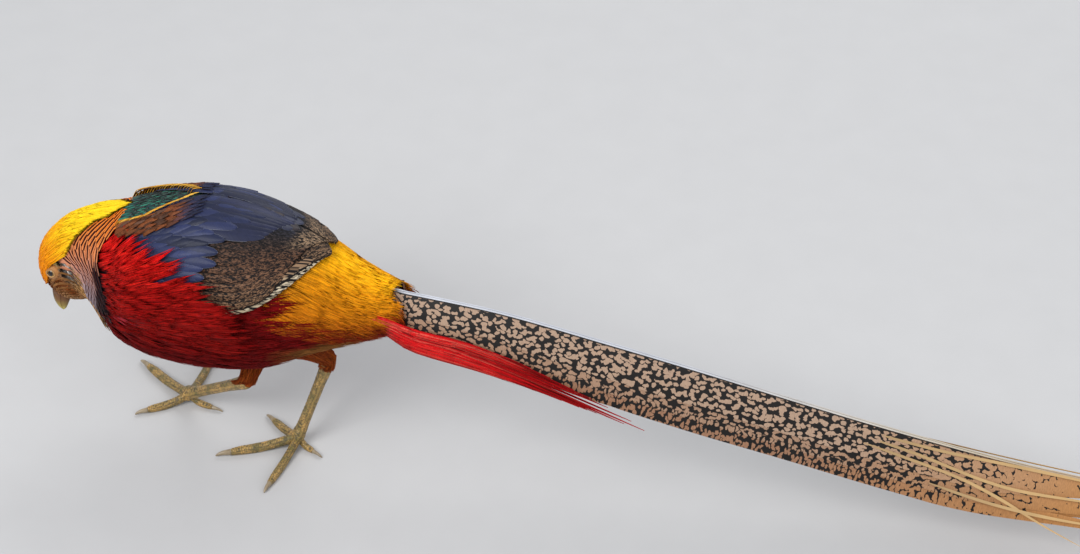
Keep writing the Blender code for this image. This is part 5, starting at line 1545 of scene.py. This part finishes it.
def makeClaws():
    # Claws: thin horn tubes on each toe's own line, one piece for each foot
    material, tree = newMaterial("claw horn", 0.35, 0.5, 0.2)
    place = addNode(tree, "TexCoord", {}, "Object")
    grain = addNode(tree, "TexNoise", {"Vector": place, "Scale": 220.0, "Detail": 3.0})
    paint(tree, addNode(tree, "ValToRGB", {0: grain, "stops": ((0.0, "#5c4a34"), (1.0, "#b3a284"))}))
    for name in ("left", "right"):
        leg, parts, vanes = legs[name], [], []
        for toe, tip in leg["toes"].items():
            radius = legs["toeRadius"][toe]
            line = toePath(leg["root"], tip, legs["clawLength"][toe], radius)[1]
            thin = np.array((0.66, 0.5, 0.34, 0.1)) * radius
            flat, faces, vane = closeGrid(*tubeGrid(line, thin, thin * 1.15, *legs["clawGrid"]))
            parts.append((flat, faces))
            vanes.append(vane)
        vane = np.concatenate(vanes)
        uv = np.stack([0.05 + vane[:, 1] / 14 * 0.9, 0.05 + (vane[:, 0] % 2) * 0.4], -1)
        piece = buildMesh("claws" + name.capitalize(), *joined(parts), [material], "claws",
                          {"vane": vane, "OFBake": uv})
        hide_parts(*("claw_%s_%s" % (name, toe) for toe in leg["toes"]))


thigh = {
    "count": 1500, "nodes": 5, "halfWidth": 0.5, "taper": (0.9, 1, 0.9, 0.6, 0.015), "thick": 0.4,
    # parts of the way from hock to knee, and the leg's size across and up there
    "at": (-0.26, -0.04, 0.12, 0.35, 0.7, 1.0), "across": (4.2, 4.3, 4.9, 7.8, 12.6, 14.5),
    "up": (4.2, 4.2, 4.8, 7.6, 14.5, 18.0),
    "colours": ("#a4541a", "#8c3c14", "#641e0a"),
}


def makeThighFeathers():
    # Rufous tufts down each drumstick, ending in a loose fringe over the heel. Roots by steps of the plastic
    # number; past the hock the tufts turn into the shank's direction
    count, part = thigh["count"], np.linspace(0, 1, thigh["nodes"])
    i = np.arange(count)
    root = 0.08 + 0.88 * ((0.5 + i * 0.7548776662) % 1) ** 0.8
    turn = 2 * math.pi * ((0.5 + i * 0.5698402910) % 1)
    for name in ("left", "right"):
        leg = legs[name]
        places = (*leg["root"], legs["ankle"]), leg["hock"], leg["knee"]
        floor, hock, knee = (np.array(v, float) for v in places)
        shank, along, long = unit(floor - hock), unit(knee - hock), np.linalg.norm(knee - hock)
        side = unit(np.cross(along, (0.0, 0.0, 1.0)))
        top = np.cross(side, along)
        rear = unit(top - shank * (top @ shank))
        place = np.clip(root[:, None] - draw.uniform(14, 24, (count, 1)) / long * part, -0.14, 1)
        wide, tall = (np.interp(place, thigh["at"], thigh[way]) for way in ("across", "up"))
        turned = turn[:, None] + draw.normal(0, 0.06, (count, 1)) * part
        bend = between(place, 0, -0.1)[..., None]
        upward = top * (1 - bend) + rear * bend
        outward = fromAxes(0, (np.cos(turned), side), (np.sin(turned), upward))
        lift = 0.2 + draw.uniform(0.5, 2.0, (count, 1)) * part
        path = fromAxes(hock, (np.maximum(place, 0), knee - hock), (np.maximum(-place, 0) * long, shank),
                        (wide * np.cos(turned), side), (tall * np.sin(turned), upward), (lift, outward))
        tint = blend(draw.uniform(0, 1, count) * 0.6 + 0.4 * root, *thigh["colours"])
        home = np.stack([0.1 + 0.5 * root, 0.2 + 0.6 * turn / 6.3], -1)
        half = thigh["halfWidth"] * np.array(thigh["taper"])
        growFeathers("thighFeathers" + name.capitalize(), path, outward, half, thigh["thick"], 2, tint, home,
                     down, "thigh_feathers")


makeClaws()
makeThighFeathers()
print("legs made")


studio = {
    "floorHalf": 6.0, "floorGap": 0.0002, "roomColour": (0.93, 0.95, 1.0, 1), "roomStrength": 0.66,
    "aim": (0, 0, 0.1),
    # softboxes: place, size and power of the key, the fill and the rim
    "lamps": (((-0.9, -1.3, 1.7), 1.2, 31.0), ((1.4, -0.9, 1.3), 1.4, 9.0), ((0.3, 1.5, 1.6), 1.2, 14.0)),
}


def makeFloor():
    # Plain pale sweep under the bird
    low, size = cadBox[0][2] - studio["floorGap"], studio["floorHalf"]
    mesh = bpy.data.meshes.new("floor")
    mesh.from_pydata([(x * size, y * size, low) for x, y in ((-1, -1), (1, -1), (1, 1), (-1, 1))], [],
                     [(0, 1, 2, 3)])
    floor = bpy.data.objects.new("floor", mesh)
    bpy.context.scene.collection.objects.link(floor)
    made, tree = newMaterial("pale studio floor", 0.85, 0.2)
    grade = addNode(tree, "MapRange",
                    {"Value": addNode(tree, "TexNoise",
                                      {"Vector": addNode(tree, "TexCoord", {}, "Object"), "Scale": 30.0,
                                       "Detail": 3.0}), "To Min": 0.52, "To Max": 0.55})
    paint(tree, addNode(tree, "CombineColor", {0: grade, 1: grade, 2: grade}))
    mesh.materials.append(made)


def makeLight():
    # A broad key from the upper left front, a fill from the right and a rim from behind, in a pale room
    world = bpy.data.worlds.new("studio")
    bpy.context.scene.world = world
    world.use_nodes = True
    room = world.node_tree.nodes["Background"].inputs
    room[0].default_value, room[1].default_value = studio["roomColour"], studio["roomStrength"]
    for place, size, power in studio["lamps"]:
        lamp = bpy.data.lights.new("softbox", "AREA")
        lamp.size, lamp.energy = size, power
        softbox = bpy.data.objects.new("softbox", lamp)
        bpy.context.scene.collection.objects.link(softbox)
        softbox.location = place
        softbox.rotation_euler = (Vector(place) - Vector(studio["aim"])).to_track_quat("Z", "Y").to_euler()
    bpy.context.scene.view_settings.view_transform = "Standard"


makeFloor()
makeLight()
print("scene done")
